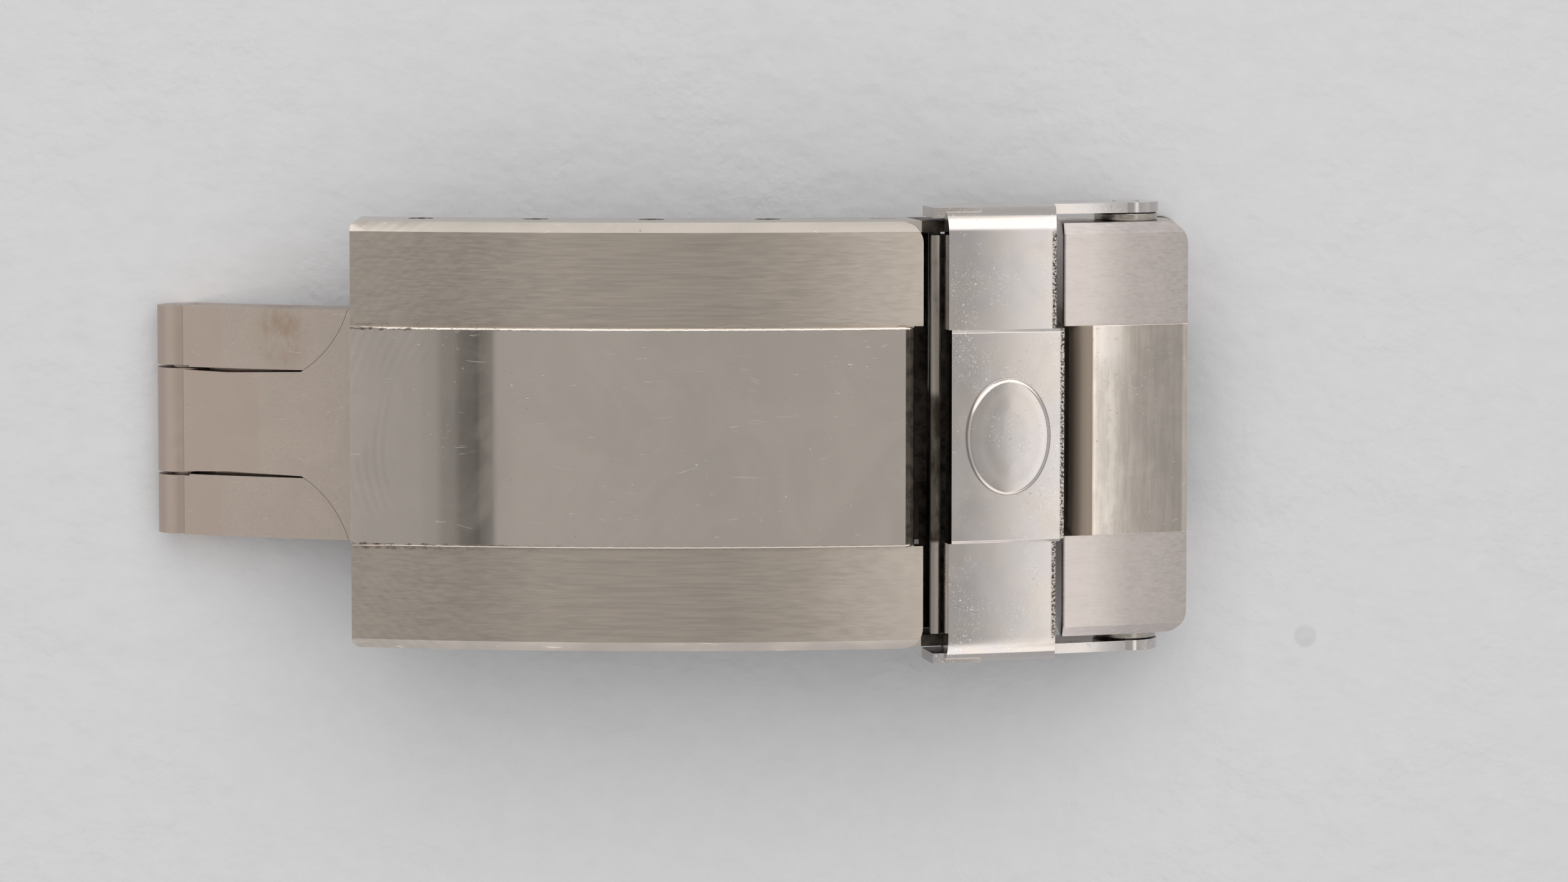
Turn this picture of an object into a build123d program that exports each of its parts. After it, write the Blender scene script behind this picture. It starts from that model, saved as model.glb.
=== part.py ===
"""Folding deployant clasp of a watch bracelet, shut, with its flip-over safety lock.

Millimetres. +X runs along the bracelet from the blade hinge to the end link, +Y across it,
+Z away from the wrist. Every plate follows an arc about one axis that runs along Y, so a
piece's place is given as x and a radius from that axis. The origin is the middle of the
lowest points.
"""
from math import sqrt
import os
from build123d import *

# Overall size: half the length, half the end link's width, and the lowest arc
half_span = 20.6
link_half = 8.16
lower_inner = 46.0

# Fits and clearances
run_clear = 0.04
side_gap = 0.15
knuckle_gap = 0.12
slide_gap = 0.1
over = 6.0

# Blades and the hinge between them
blade_thick = 1.0
blade_half = 4.6
tongue_half = 2.1
knuckle_r = 1.15
hinge_pin_r = 0.5
horn_length = 6.75
shoulder_flat = 0.6
lift_steps = 4
lift_angle = 2.4
narrow_reach = 0.46

# Upper blade's cross head at the cover hinge, and its window
head_rise = 1.4
head_barrel_r = 0.8
head_length = 1.85
ramp_length = 1.95
ramp_lean = 0.45
window_side = 0.4
window_length = 2.8
window_inset = 1.34

# Cover
free_height = 3.4
cover_setback = 0.44
cover_thick = 0.9
cover_wall = 0.8
cover_bevel = 0.38
cover_corner_left = 0.3
cover_corner_right = 0.83
band_half = 4.3
band_rise = 0.3
band_bevel = 0.2
band_inset = 0.36
band_round = 0.6
ear_wall = 0.45
ear_inset = 0.3
ear_rise = 0.6
ear_step = 0.12
ear_round = 1.2
hole_inset = 2.64
hole_count = 4
hole_r = 0.5
hole_margin = 0.9
cover_hinge_inset = 1.52

# Opening lever and the hook that it catches
lever_slot = 0.29
lever_inset = 0.35
heel_thick = 0.45
heel_rise = 1.3
shelf_thick = 0.6
cap_reach = 0.6
cap_nail_r = 0.35
lever_pin_reach = 2.2
lever_pin_r = 0.4
lever_barrel_r = 0.85
nose_half = 2.0
nose_reach = 0.42
nose_height = 0.5
hook_stem = 0.3
hook_thick = 0.4

# Safety lock
lock_gap = 0.31
lock_length = 4.42
lock_wall = 0.4
lock_headroom = 0.2
lock_thick = 0.8
lock_edge_r = 0.62
lock_band_shift = 0.32
lock_band_half = 4.17
lock_band_rise = 0.15
lock_band_bevel = 0.12
lock_skirt = 3.0
lip_reach = 0.77
lip_drop = 1.9
lip_rise = 0.3
arm_half_height = 1.3
pivot_inset = 2.4
pivot_drop = 2.9
pivot_r = 0.5
pivot_depth = 2.0
washer_r = 1.25
washer_thick = 0.3
boss_length = 3.4
boss_width = 4.6
boss_rise = 0.3
boss_round = 0.26

# End link
link_length = 5.04
link_drop = 0.7
link_centre_half = 4.14
link_centre_inset = 0.38
link_centre_rise = 0.1
link_corner_r = 1.15
link_bevel = 0.4
link_nose_r = 0.5
eye_inset = 0.74
eye_r = 1.05
eye_pin_r = 0.45
eye_roof_gap = 0.05
centre_pin_inset = 1.19
centre_pin_drop = 1.25
centre_pin_r = 0.35
bore_inset = 1.05
bore_drop = 3.75
bracelet_bore_r = 0.6

# Spring bar across one pair of adjustment holes
bar_hole = 2
bar_r = 0.6
bar_bore_r = 0.45
bar_end_gap = 0.2
tip_r = 0.42
tip_inset = 0.1
tip_tail = 2.2
tip_collar_r = 0.6
tip_collar_thick = 0.25
tip_travel = 0.8
spring_r = 0.38
spring_bore_r = 0.22

# Widths that follow from the end link outwards to the lock, then inwards to the cover
lock_inner_half = link_half + washer_thick + run_clear
lock_half = lock_inner_half + lock_wall
cover_half = lock_inner_half - side_gap
cavity_half = cover_half - cover_wall
ear_inner_half = cover_half - ear_wall
lever_half = ear_inner_half - slide_gap
head_half = cavity_half - side_gap
bar_tube_half = cavity_half - bar_end_gap - tip_collar_thick - tip_travel
blade_narrow_half = link_centre_half - side_gap
window_half = nose_half + window_side
shoulder_fillet = blade_half - tongue_half - shoulder_flat

# Places along the clasp, from the end link back to the blade hinge
link_left = half_span - link_length
link_centre_left = link_left + link_centre_inset
eye_x = link_left + eye_inset
centre_pin_x = link_left + centre_pin_inset
bracelet_bore_x = half_span - bore_inset
pivot_x = half_span - pivot_inset
blade_narrow_x = link_left - narrow_reach
lock_right = link_left - lock_gap
lock_left = lock_right - lock_length
ear_right = lock_right - ear_inset
lever_right = lock_right - lever_inset
cover_right = lock_left - lip_reach
band_right = cover_right - band_inset
lever_left = cover_right + lever_slot
cap_left = lever_left + cap_reach
lever_pin_x = lever_left + lever_pin_reach
cover_hinge_x = cover_right - cover_hinge_inset
window_right = cover_hinge_x - window_inset
window_left = window_right - window_length
hinge_x = knuckle_r - half_span
shoulder_x = hinge_x + horn_length
cover_left = shoulder_x + cover_setback
hole_first_x = cover_left + hole_inset
hole_pitch = (cover_hinge_x - hole_first_x) / hole_count
bar_x = hole_first_x + (bar_hole - 1) * hole_pitch

# Radii of the arcs, from the wrist outwards
blade_top = lower_inner + blade_thick
upper_inner = blade_top + slide_gap
upper_outer = upper_inner + blade_thick
hinge_line = upper_inner - slide_gap / 2
hole_line = upper_outer + head_rise
head_inner = hole_line - blade_thick / 2
head_outer = head_inner + blade_thick
skirt_inner = hole_line - hole_margin
heel_bottom = upper_outer + heel_rise
nose_bottom = heel_bottom - nose_height
cover_inner = upper_outer + free_height
cover_outer = cover_inner + cover_thick
ear_top = cover_inner + ear_rise
shelf_bottom = cover_inner - shelf_thick
cap_top = ear_top
lock_inner = cap_top + lock_headroom
lock_outer = lock_inner + lock_thick
lock_skirt_inner = lock_inner - lock_skirt
lip_inner = lock_inner - lip_drop
lip_outer = lock_inner + lip_rise
pivot_line = lock_inner - pivot_drop
link_outer = lock_inner - link_drop
centre_pin_line = link_outer - centre_pin_drop
bore_line = link_outer - bore_drop
eye_line = blade_top + eye_r
link_centre_bottom = eye_line + eye_r + eye_roof_gap

# The hinge's knuckles and the end link's lower edge stand level
foot = sqrt(hinge_line**2 - hinge_x**2) - knuckle_r
link_inner = sqrt(half_span**2 + foot**2)
axis_z = -foot


def spot(x, radius):
    """The point at x on the arc of this radius, as x and height."""
    return x, axis_z + sqrt(radius**2 - x**2)


def ring(inner, outer):
    """A tube about the arcs' axis, wider than the part."""
    width = 2 * (lock_half + over)
    wall = Cylinder(outer, width)
    if inner:
        wall -= Cylinder(inner, width)
    return Pos(0, 0, axis_z) * Rot(X=90) * wall


def strip(left, right, low, high):
    """A rectangle in plan."""
    return Pos((left + right) / 2, (low + high) / 2) * Rectangle(right - left, high - low)


def plate(outline, inner, outer):
    """The outline in plan, cut between two arcs."""
    return extrude(outline, outer + over) & ring(inner, outer)


def rod(place, radius, low, high):
    """A round bar along Y."""
    x, z = place
    return Pos(x, (low + high) / 2, z) * Rot(X=90) * Cylinder(radius, high - low)


def side_profile(places, half):
    """A polygon seen from the side, given as x and height, pulled out to both sides."""
    face = Plane.XZ * make_face(Polyline(*places, close=True))
    return extrude(face, half, both=True)


def mirrored(low, high, side):
    """The span from low to high on the back, or its mirror image on the front."""
    return (low, high) if side > 0 else (-high, -low)


def long_edges(solid, radius, half):
    """The arc edges of a plate at this radius and this distance from the middle."""
    def wanted(edge):
        on_arc = edge.geom_type == GeomType.CIRCLE and abs(edge.radius - radius) < run_clear / 2
        return on_arc and abs(abs(edge.center().Y) - half) < run_clear / 2
    return solid.edges().filter_by(wanted)


def round_corners(outline, x, half, radius):
    """The plan outline with its corners at this x and distance from the middle rounded."""
    corners = outline.vertices().filter_by(
        lambda v: abs(v.X - x) < run_clear and abs(abs(v.Y) - half) < run_clear)
    return fillet(corners, radius)


def cross_edges(solid, x, radius):
    """The edges along Y at this x on the arc of this radius."""
    def wanted(edge):
        middle = edge.center()
        level = spot(x, radius)[1]
        near = abs(middle.X - x) < run_clear / 2 and abs(middle.Z - level) < run_clear / 2
        return near and abs(edge.tangent_at(0).Y) > 1 - run_clear
    return solid.edges().filter_by(wanted)


def tongue_outline(gap):
    """The upper blade's left end in plan, grown by a gap: tongue, fillets and shoulders."""
    tongue = tongue_half + gap
    shoulder = shoulder_x - gap
    outline = strip(hinge_x, shoulder, -tongue, tongue)
    outline += strip(shoulder, shoulder + blade_half, -blade_half, blade_half)
    return round_corners(outline, shoulder, tongue, shoulder_fillet - gap)


def horn_outline(gap):
    """The space beside the tongue in plan, less a gap all round the tongue."""
    beside = strip(hinge_x, shoulder_x - gap, -blade_half, blade_half)
    return beside - tongue_outline(gap)


def make_lower_blade():
    """Blade with horns and knuckles at the left, the hook, and the link's eye at the right."""
    hinge = spot(hinge_x, hinge_line)
    eye = spot(eye_x, eye_line)
    blade = plate(strip(hinge_x, blade_narrow_x, -blade_half, blade_half), lower_inner, blade_top)
    blade += plate(strip(blade_narrow_x - over, eye_x + eye_r, -blade_narrow_half,
                         blade_narrow_half), lower_inner, blade_top)
    blade += plate(strip(eye_x - eye_r, eye_x + eye_r, -blade_narrow_half, blade_narrow_half),
                   lower_inner, eye_line)
    blade += rod(eye, eye_r, -blade_narrow_half, blade_narrow_half)
    blade += plate(horn_outline(knuckle_gap), lower_inner, upper_outer)
    for side in (1, -1):
        low, high = mirrored(tongue_half + knuckle_gap, blade_half, side)
        blade += rod(hinge, knuckle_r, low, high)
    inner_half = tongue_half + knuckle_gap
    blade -= rod(hinge, knuckle_r + knuckle_gap, -inner_half, inner_half)
    blade -= rod(hinge, hinge_pin_r, -blade_half, blade_half)
    blade -= rod(eye, eye_pin_r, -blade_narrow_half, blade_narrow_half)
    hook_right = lever_left - slide_gap
    hook_left = lever_left - nose_reach - slide_gap - hook_stem
    hook_under = heel_bottom + slide_gap
    hook_top = hook_under + hook_thick
    blade += plate(strip(hook_left, hook_left + hook_stem, -nose_half, nose_half),
                   lower_inner, hook_top)
    blade += plate(strip(hook_left, hook_right, -nose_half, nose_half), hook_under, hook_top)
    return blade


def make_upper_blade():
    """Blade with the hinge tongue at the left, and a raised cross head at the right."""
    hinge = spot(hinge_x, hinge_line)
    head = spot(cover_hinge_x, hole_line)
    head_left = cover_hinge_x - head_length
    ramp_left = head_left - ramp_length
    x, z = hinge
    blade = plate(tongue_outline(0), upper_inner, upper_outer)
    horns = plate(horn_outline(0), lower_inner, upper_outer)
    for step in range(lift_steps):
        turn = Pos(x, 0, z) * Rot(Y=lift_angle * (step + 1)) * Pos(-x, 0, -z)
        blade -= turn * horns
    blade += plate(strip(shoulder_x + shoulder_fillet, ramp_left, -blade_half, blade_half),
                   upper_inner, upper_outer)
    blade += side_profile([spot(ramp_left, upper_inner), spot(head_left, head_inner),
                           spot(head_left, head_outer), spot(head_left - ramp_lean, head_outer),
                           spot(ramp_left - ramp_lean, upper_outer)], blade_half)
    blade += plate(strip(head_left, cover_hinge_x, -head_half, head_half), head_inner, head_outer)
    blade += rod(head, head_barrel_r, -head_half, head_half)
    blade -= extrude(strip(window_left, window_right, -window_half, window_half), head_outer + over)
    blade += rod(hinge, knuckle_r, -tongue_half, tongue_half)
    blade -= rod(hinge, hinge_pin_r + run_clear, -tongue_half, tongue_half)
    blade -= rod(head, hinge_pin_r + run_clear, -head_half, head_half)
    return blade


def make_cover_shell():
    """Channel with bevelled flanks, a raised centre band, holed side walls and thin ears."""
    outline = strip(cover_left, cover_right, -cover_half, cover_half)
    roof = plate(outline, cover_inner, cover_outer)
    roof = chamfer(long_edges(roof, cover_outer, cover_half), cover_bevel)
    outline = round_corners(outline, cover_right, cover_half, cover_corner_right)
    outline = round_corners(outline, cover_left, cover_half, cover_corner_left)
    roof &= extrude(outline, cover_outer + over)
    roof -= extrude(strip(band_right, cover_right + over, -band_half, band_half),
                    cover_outer + over)
    band = plate(strip(cover_left, band_right, -band_half, band_half),
                 cover_inner, cover_outer + band_rise)
    band = fillet(cross_edges(band, band_right, cover_outer + band_rise), band_round)
    band = chamfer(long_edges(band, cover_outer + band_rise, band_half), band_bevel)
    shell = roof + band
    step_x = cover_right - ear_step
    for side in (1, -1):
        low, high = mirrored(cavity_half, cover_half, side)
        shell += plate(strip(cover_left + cover_corner_left, step_x, low, high),
                       skirt_inner, cover_outer - cover_bevel)
        low, high = mirrored(ear_inner_half, cover_half, side)
        ear = plate(strip(step_x - over, ear_right, low, high), skirt_inner, ear_top)
        ear = fillet(cross_edges(ear, ear_right, skirt_inner), ear_round)
        shell += ear
    for number in range(hole_count + 1):
        place = spot(cover_hinge_x - number * hole_pitch, hole_line)
        shell -= rod(place, hole_r, -cover_half - over, cover_half + over)
    lever_place = spot(lever_pin_x, shelf_bottom)
    shell -= rod(lever_place, lever_pin_r, -cover_half - over, cover_half + over)
    return shell


def make_opening_lever():
    """Plate under the lock with an upright heel, a hook nose and a barrel for its pin."""
    place = spot(lever_pin_x, shelf_bottom)
    lever = plate(strip(lever_left, lever_left + heel_thick, -lever_half, lever_half),
                  heel_bottom, cover_inner)
    lever += plate(strip(lever_left, lever_right, -lever_half, lever_half),
                   shelf_bottom, cover_inner)
    lever += rod(place, lever_barrel_r, -lever_half, lever_half)
    lever += plate(strip(cap_left, lever_right, -lever_half, lever_half), shelf_bottom, cap_top)
    lever = fillet(cross_edges(lever, lever_right, cap_top), cap_nail_r)
    lever += plate(strip(lever_left, lever_left + heel_thick, -nose_half, nose_half),
                   nose_bottom, shelf_bottom)
    lever += plate(strip(lever_left - nose_reach, lever_left + heel_thick, -nose_half, nose_half),
                   nose_bottom, heel_bottom)
    return lever - rod(place, lever_pin_r + run_clear, -lever_half, lever_half)


def make_safety_lock():
    """Stepped top plate with rounded sides, lips, and two arms that reach the link's pivots."""
    pivot = spot(pivot_x, pivot_line)
    lock = plate(strip(lock_left, lock_right, -lock_half, lock_half), lock_skirt_inner, lock_outer)
    lock = fillet(long_edges(lock, lock_outer, lock_half), lock_edge_r)
    lock -= plate(strip(lock_left - over, lock_right + over, -lock_inner_half, lock_inner_half),
                  0, lock_inner)
    lock -= extrude(strip(lock_left - over, lock_left + lock_band_shift, -lock_band_half,
                          lock_band_half), lock_outer + over)
    band = plate(strip(lock_left + lock_band_shift, lock_right + lock_band_shift, -lock_band_half,
                       lock_band_half), lock_inner, lock_outer + lock_band_rise)
    lock += chamfer(long_edges(band, lock_outer + lock_band_rise, lock_band_half),
                    lock_band_bevel)
    for side in (1, -1):
        low, high = mirrored(lock_inner_half, lock_half, side)
        lip = plate(strip(lock_left - lip_reach, lock_left + over / 2, low, high),
                    lip_inner, lip_outer)
        lip = fillet(cross_edges(lip, lock_left - lip_reach, lip_inner), lip_reach)
        lock += lip
        lock += plate(strip(lock_right - over / 2, pivot_x, low, high),
                      pivot_line - arm_half_height, pivot_line + arm_half_height)
        lock += rod(pivot, arm_half_height, low, high)
        lock -= rod(pivot, pivot_r + run_clear, low, high)
    return lock


def make_thumb_boss():
    """Plain low oval on the lock's centre band, with a rounded rim."""
    x, z = spot((lock_left + lock_right) / 2 + lock_band_shift, lock_outer + lock_band_rise)
    outline = Pos(x, 0) * Ellipse(boss_length / 2, boss_width / 2)
    top = lock_outer + lock_band_rise + boss_rise
    boss = plate(outline, lock_outer + lock_band_rise, top)
    rim = boss.faces().sort_by(Axis.Z)[-1].edges()
    return fillet(rim, boss_round)


def make_link_flank(side):
    """Outer piece of the end link, with its corner rounded and its upper edge bevelled."""
    low, high = mirrored(link_centre_half, link_half, side)
    outline = strip(link_left, half_span, low, high)
    flank = plate(outline, link_inner, link_outer)
    flank = chamfer(long_edges(flank, link_outer, link_half), link_bevel)
    flank = fillet(cross_edges(flank, link_left, link_outer), link_nose_r)
    flank &= extrude(round_corners(outline, half_span, link_half, link_corner_r), link_outer)
    flank -= rod(spot(eye_x, eye_line), eye_pin_r, low, high)
    flank -= rod(spot(centre_pin_x, centre_pin_line), centre_pin_r, low, high)
    flank -= rod(spot(bracelet_bore_x, bore_line), bracelet_bore_r, low, high)
    low, high = mirrored(link_half - pivot_depth, link_half, side)
    return flank - rod(spot(pivot_x, pivot_line), pivot_r, low, high)


def make_link_centre():
    """Centre piece of the end link, over the bay that takes the bracelet's own middle."""
    centre = plate(strip(link_centre_left, half_span, -link_centre_half, link_centre_half),
                   link_centre_bottom, link_outer + link_centre_rise)
    centre = fillet(cross_edges(centre, link_centre_left, link_outer + link_centre_rise),
                    link_nose_r)
    return centre - rod(spot(centre_pin_x, centre_pin_line), centre_pin_r,
                        -link_centre_half, link_centre_half)


def make_spring_bar():
    """Tube, the spring's sleeve and two sprung tips across one pair of adjustment holes."""
    place = spot(bar_x, hole_line)
    tube = rod(place, bar_r, -bar_tube_half, bar_tube_half)
    tube -= rod(place, bar_bore_r, -bar_tube_half, bar_tube_half)
    tail = bar_tube_half - tip_tail
    pieces = {"spring_bar_tube": tube}
    for name, side in (("back", 1), ("front", -1)):
        low, high = mirrored(tail, cover_half - tip_inset, side)
        tip = rod(place, tip_r, low, high)
        start = bar_tube_half + tip_travel
        low, high = mirrored(start, start + tip_collar_thick, side)
        pieces["spring_bar_tip_" + name] = tip + rod(place, tip_collar_r, low, high)
    reach = tail - run_clear
    spring = rod(place, spring_r, -reach, reach) - rod(place, spring_bore_r, -reach, reach)
    pieces["spring_bar_spring"] = spring
    return pieces


def make_pins():
    """The plain pins, and the studs and washers of the lock's pivots."""
    hinge = spot(hinge_x, hinge_line)
    cover_hinge = spot(cover_hinge_x, hole_line)
    lever_place = spot(lever_pin_x, shelf_bottom)
    eye = spot(eye_x, eye_line)
    centre = spot(centre_pin_x, centre_pin_line)
    pivot = spot(pivot_x, pivot_line)
    pieces = {
        "blade_hinge_pin": rod(hinge, hinge_pin_r, -blade_half, blade_half),
        "cover_hinge_pin": rod(cover_hinge, hole_r, -cover_half, cover_half),
        "lever_pin": rod(lever_place, lever_pin_r, -cover_half, cover_half),
        "blade_end_pin": rod(eye, eye_pin_r, -link_half, link_half),
        "centre_link_pin": rod(centre, centre_pin_r, -link_half, link_half),
    }
    for name, side in (("back", 1), ("front", -1)):
        low, high = mirrored(link_half - pivot_depth, lock_half, side)
        pieces["lock_pivot_" + name] = rod(pivot, pivot_r, low, high)
        low, high = mirrored(link_half, lock_inner_half - run_clear, side)
        washer = rod(pivot, washer_r, low, high) - rod(pivot, pivot_r, low, high)
        pieces["lock_washer_" + name] = washer
    return pieces


parts = {
    "lower_blade": make_lower_blade(),
    "upper_blade": make_upper_blade(),
    "cover_shell": make_cover_shell(),
    "opening_lever": make_opening_lever(),
    "safety_lock": make_safety_lock(),
    "thumb_boss": make_thumb_boss(),
    "end_link_flank_back": make_link_flank(1),
    "end_link_flank_front": make_link_flank(-1),
    "end_link_centre": make_link_centre(),
}
parts.update(make_spring_bar())
parts.update(make_pins())

os.makedirs("parts", exist_ok=True)
for name, solid in parts.items():
    export_step(solid, f"parts/{name}.step")
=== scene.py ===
"""Folding deployant clasp, seen from above on a white sheet: its fine pieces, finishes and stage."""

import math

import bmesh
import bpy
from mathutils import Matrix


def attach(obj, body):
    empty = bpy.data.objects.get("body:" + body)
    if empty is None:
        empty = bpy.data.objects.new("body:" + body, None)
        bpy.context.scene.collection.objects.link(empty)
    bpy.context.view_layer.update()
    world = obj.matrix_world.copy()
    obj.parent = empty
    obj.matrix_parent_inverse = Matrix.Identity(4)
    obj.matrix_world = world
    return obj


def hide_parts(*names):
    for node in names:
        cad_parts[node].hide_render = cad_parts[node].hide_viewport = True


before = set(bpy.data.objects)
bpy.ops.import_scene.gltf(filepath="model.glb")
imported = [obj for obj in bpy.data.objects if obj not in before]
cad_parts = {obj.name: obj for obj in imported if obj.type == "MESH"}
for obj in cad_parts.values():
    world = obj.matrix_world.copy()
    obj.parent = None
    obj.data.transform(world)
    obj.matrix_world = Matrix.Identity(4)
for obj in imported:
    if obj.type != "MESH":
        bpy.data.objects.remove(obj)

bl_info = {
    "name": "Deployant clasp",
    "version": (1, 0, 0),
    "blender": (4, 5, 0),
    "location": "3D View > Sidebar > Clasp",
    "description": "Models and finishes the pieces of a folding watch clasp",
    "category": "Add Mesh",
}

# The pieces are shaped in millimetres and settle to metres when they are finished.
MM = 0.001
AXIS = -41.6916          # height of the line that every arc is turned about

HALF_SPAN = 20.6
HINGE = (-19.45, 47.05)
EYE = (16.3, 48.05)
COVER_HINGE = (8.54, 49.5)
LEVER_PIN = (12.55, 50.9)
PIVOT = (18.2, 49.4)
CENTRE_PIN = (16.75, 50.35)
BRACELET_BORE = (19.55, 47.85)
BAR = (-5.08, 49.5)
HOLES = tuple((-9.62 + 4.54 * number, 49.5) for number in range(5))

BLADE_HALF = 4.6
TONGUE_HALF = 2.1
NARROW_HALF = 3.99
KNUCKLE_GAP = 0.12
FLARE_START, FLARE_X, FLARE_Y = -14.6, -16.96, 5.87
KNUCKLE = (-19.54, 47.05)
COVER_LEFT, COVER_RIGHT = -12.26, 10.06
BAND_LEFT, BAND_RIGHT = -12.248, 9.7
EAR_RIGHT, LEVER_RIGHT = 14.95, 14.9
LOCK_LEFT, LOCK_RIGHT = 10.83, 15.25
LOCK_SHIFT = 0.32
LINK_LEFT, LINK_CENTRE_LEFT = 15.56, 15.94
LINK_HALF, LINK_CENTRE_HALF = 8.16, 4.14
INSET = 0.01             # keeps joined solids from sharing a face


# ---------------------------------------------------------------- sizes and colours
class CoverSettings(bpy.types.PropertyGroup):
    """Sizes of the cover."""
    half_width: bpy.props.FloatProperty(
        name="Half width", description="From the middle to the side wall's outer face",
        default=0.00835, min=0.005, unit="LENGTH")
    band_half: bpy.props.FloatProperty(
        name="Band half width", description="From the middle to the raised band's edge",
        default=0.0043, min=0.001, unit="LENGTH")
    chamfer: bpy.props.FloatProperty(
        name="Flank chamfer", description="Width of the polished bevel along the flanks",
        default=0.00038, min=0.0001, unit="LENGTH")
    soft_edge: bpy.props.FloatProperty(
        name="Soft edge", description="Radius that handling leaves on the sharp edges",
        default=0.00005, min=0.00001, unit="LENGTH")


class LockSettings(bpy.types.PropertyGroup):
    """Sizes of the safety lock."""
    half_width: bpy.props.FloatProperty(
        name="Half width", description="From the middle to the lock's outer face",
        default=0.0089, min=0.005, unit="LENGTH")
    side_round: bpy.props.FloatProperty(
        name="Side rounding", description="Radius between the top and the sides",
        default=0.00105, min=0.0001, unit="LENGTH")
    boss_length: bpy.props.FloatProperty(
        name="Thumb boss length", description="Along the clasp",
        default=0.0034, min=0.001, unit="LENGTH")
    boss_width: bpy.props.FloatProperty(
        name="Thumb boss width", description="Across the clasp",
        default=0.0046, min=0.001, unit="LENGTH")


class FinishSettings(bpy.types.PropertyGroup):
    """Colours of the metals and of what has settled on them."""
    brushed: bpy.props.FloatVectorProperty(
        name="Brushed metal", description="Colour of the brushed flanks", subtype="COLOR",
        default=(0.50, 0.44, 0.385), min=0, max=1)
    polished: bpy.props.FloatVectorProperty(
        name="Polished metal", description="Colour of the polished faces", subtype="COLOR",
        default=(0.60, 0.545, 0.49), min=0, max=1)
    lock: bpy.props.FloatVectorProperty(
        name="Lock metal", description="Colour of the lock's cooler polish", subtype="COLOR",
        default=(0.555, 0.512, 0.48), min=0, max=1)
    satin: bpy.props.FloatVectorProperty(
        name="Satin blades", description="Colour of the blasted blades", subtype="COLOR",
        default=(0.50, 0.43, 0.375), min=0, max=1)
    # This dirt colour, darkened, also gives painted shade on the lever's heel and along the lock's right
    # edge.
    dirt: bpy.props.FloatVectorProperty(
        name="Dirt", description="Colour of the dirt in the corners", subtype="COLOR",
        default=(0.10, 0.075, 0.055), min=0, max=1)


class StageSettings(bpy.types.PropertyGroup):
    """Where the camera stands, and the sheet under the clasp."""
    distance: bpy.props.FloatProperty(
        name="Camera distance", description="From the lens to the cover's top",
        default=0.235, min=0.1, unit="LENGTH")
    tilt: bpy.props.FloatProperty(
        name="Camera tilt", description="How far the camera leans from straight above",
        default=math.radians(5), min=0, max=math.radians(60), subtype="ANGLE")
    sheet: bpy.props.FloatVectorProperty(
        name="Sheet", description="Colour of the sheet under the clasp", subtype="COLOR",
        default=(0.80, 0.80, 0.805), min=0, max=1)


# ---------------------------------------------------------------- modelling by hand
def clear_selection():
    if bpy.context.object and bpy.context.object.mode == "EDIT":
        bpy.ops.object.mode_set(mode="OBJECT")
    bpy.ops.object.select_all(action="DESELECT")


def make_active(piece):
    clear_selection()
    piece.select_set(True)
    bpy.context.view_layer.objects.active = piece


def edit(piece):
    make_active(piece)
    bpy.ops.object.mode_set(mode="EDIT")
    bpy.ops.mesh.select_all(action="SELECT")


def pick(kind, test):
    """Selects the faces, edges or points being edited whose points all pass the test."""
    bpy.ops.mesh.select_mode(type=kind)
    bpy.ops.mesh.select_all(action="DESELECT")
    shape = bmesh.from_edit_mesh(bpy.context.object.data)
    items = {"FACE": shape.faces, "EDGE": shape.edges, "VERT": shape.verts}[kind]
    count = 0
    for item in items:
        points = [item.co] if kind == "VERT" else [corner.co for corner in item.verts]
        if all(test(point) for point in points):
            item.select_set(True)
            count += 1
    shape.select_flush_mode()
    bmesh.update_edit_mesh(bpy.context.object.data)
    if not count:
        raise RuntimeError("no " + kind.lower() + " of " + bpy.context.object.name + " passed")


def radius_of(point):
    return math.hypot(point.x, point.z - AXIS)


def near(value, target, reach=0.02):
    return abs(value - target) < reach


def height(x, radius):
    """The height of the arc of this radius at x."""
    return AXIS + math.sqrt(radius * radius - x * x)


def start_section(low, high, inner, outer):
    """Adds a rectangle across the clasp. Its z is a radius until the sweep."""
    clear_selection()
    bpy.ops.mesh.primitive_plane_add(size=1, rotation=(0, -math.pi / 2, 0))
    bpy.ops.object.transform_apply(location=False, rotation=True, scale=False)
    bpy.ops.object.mode_set(mode="EDIT")
    bpy.ops.transform.resize(value=(1, high - low, outer - inner))
    bpy.ops.transform.translate(value=(0, (low + high) / 2, (inner + outer) / 2))
    return bpy.context.object


def cut_across(*places):
    """Divides the section at these distances from the middle."""
    for place in places:
        bpy.ops.mesh.select_all(action="SELECT")
        bpy.ops.mesh.bisect(plane_co=(0, place, 0), plane_no=(0, 1, 0))


def round_points(test, offset, segments=1):
    """Bevels the outline's points that pass the test."""
    pick("VERT", test)
    bpy.ops.mesh.bevel(offset=offset, affect="VERTICES", segments=segments, profile=0.5)


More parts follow.
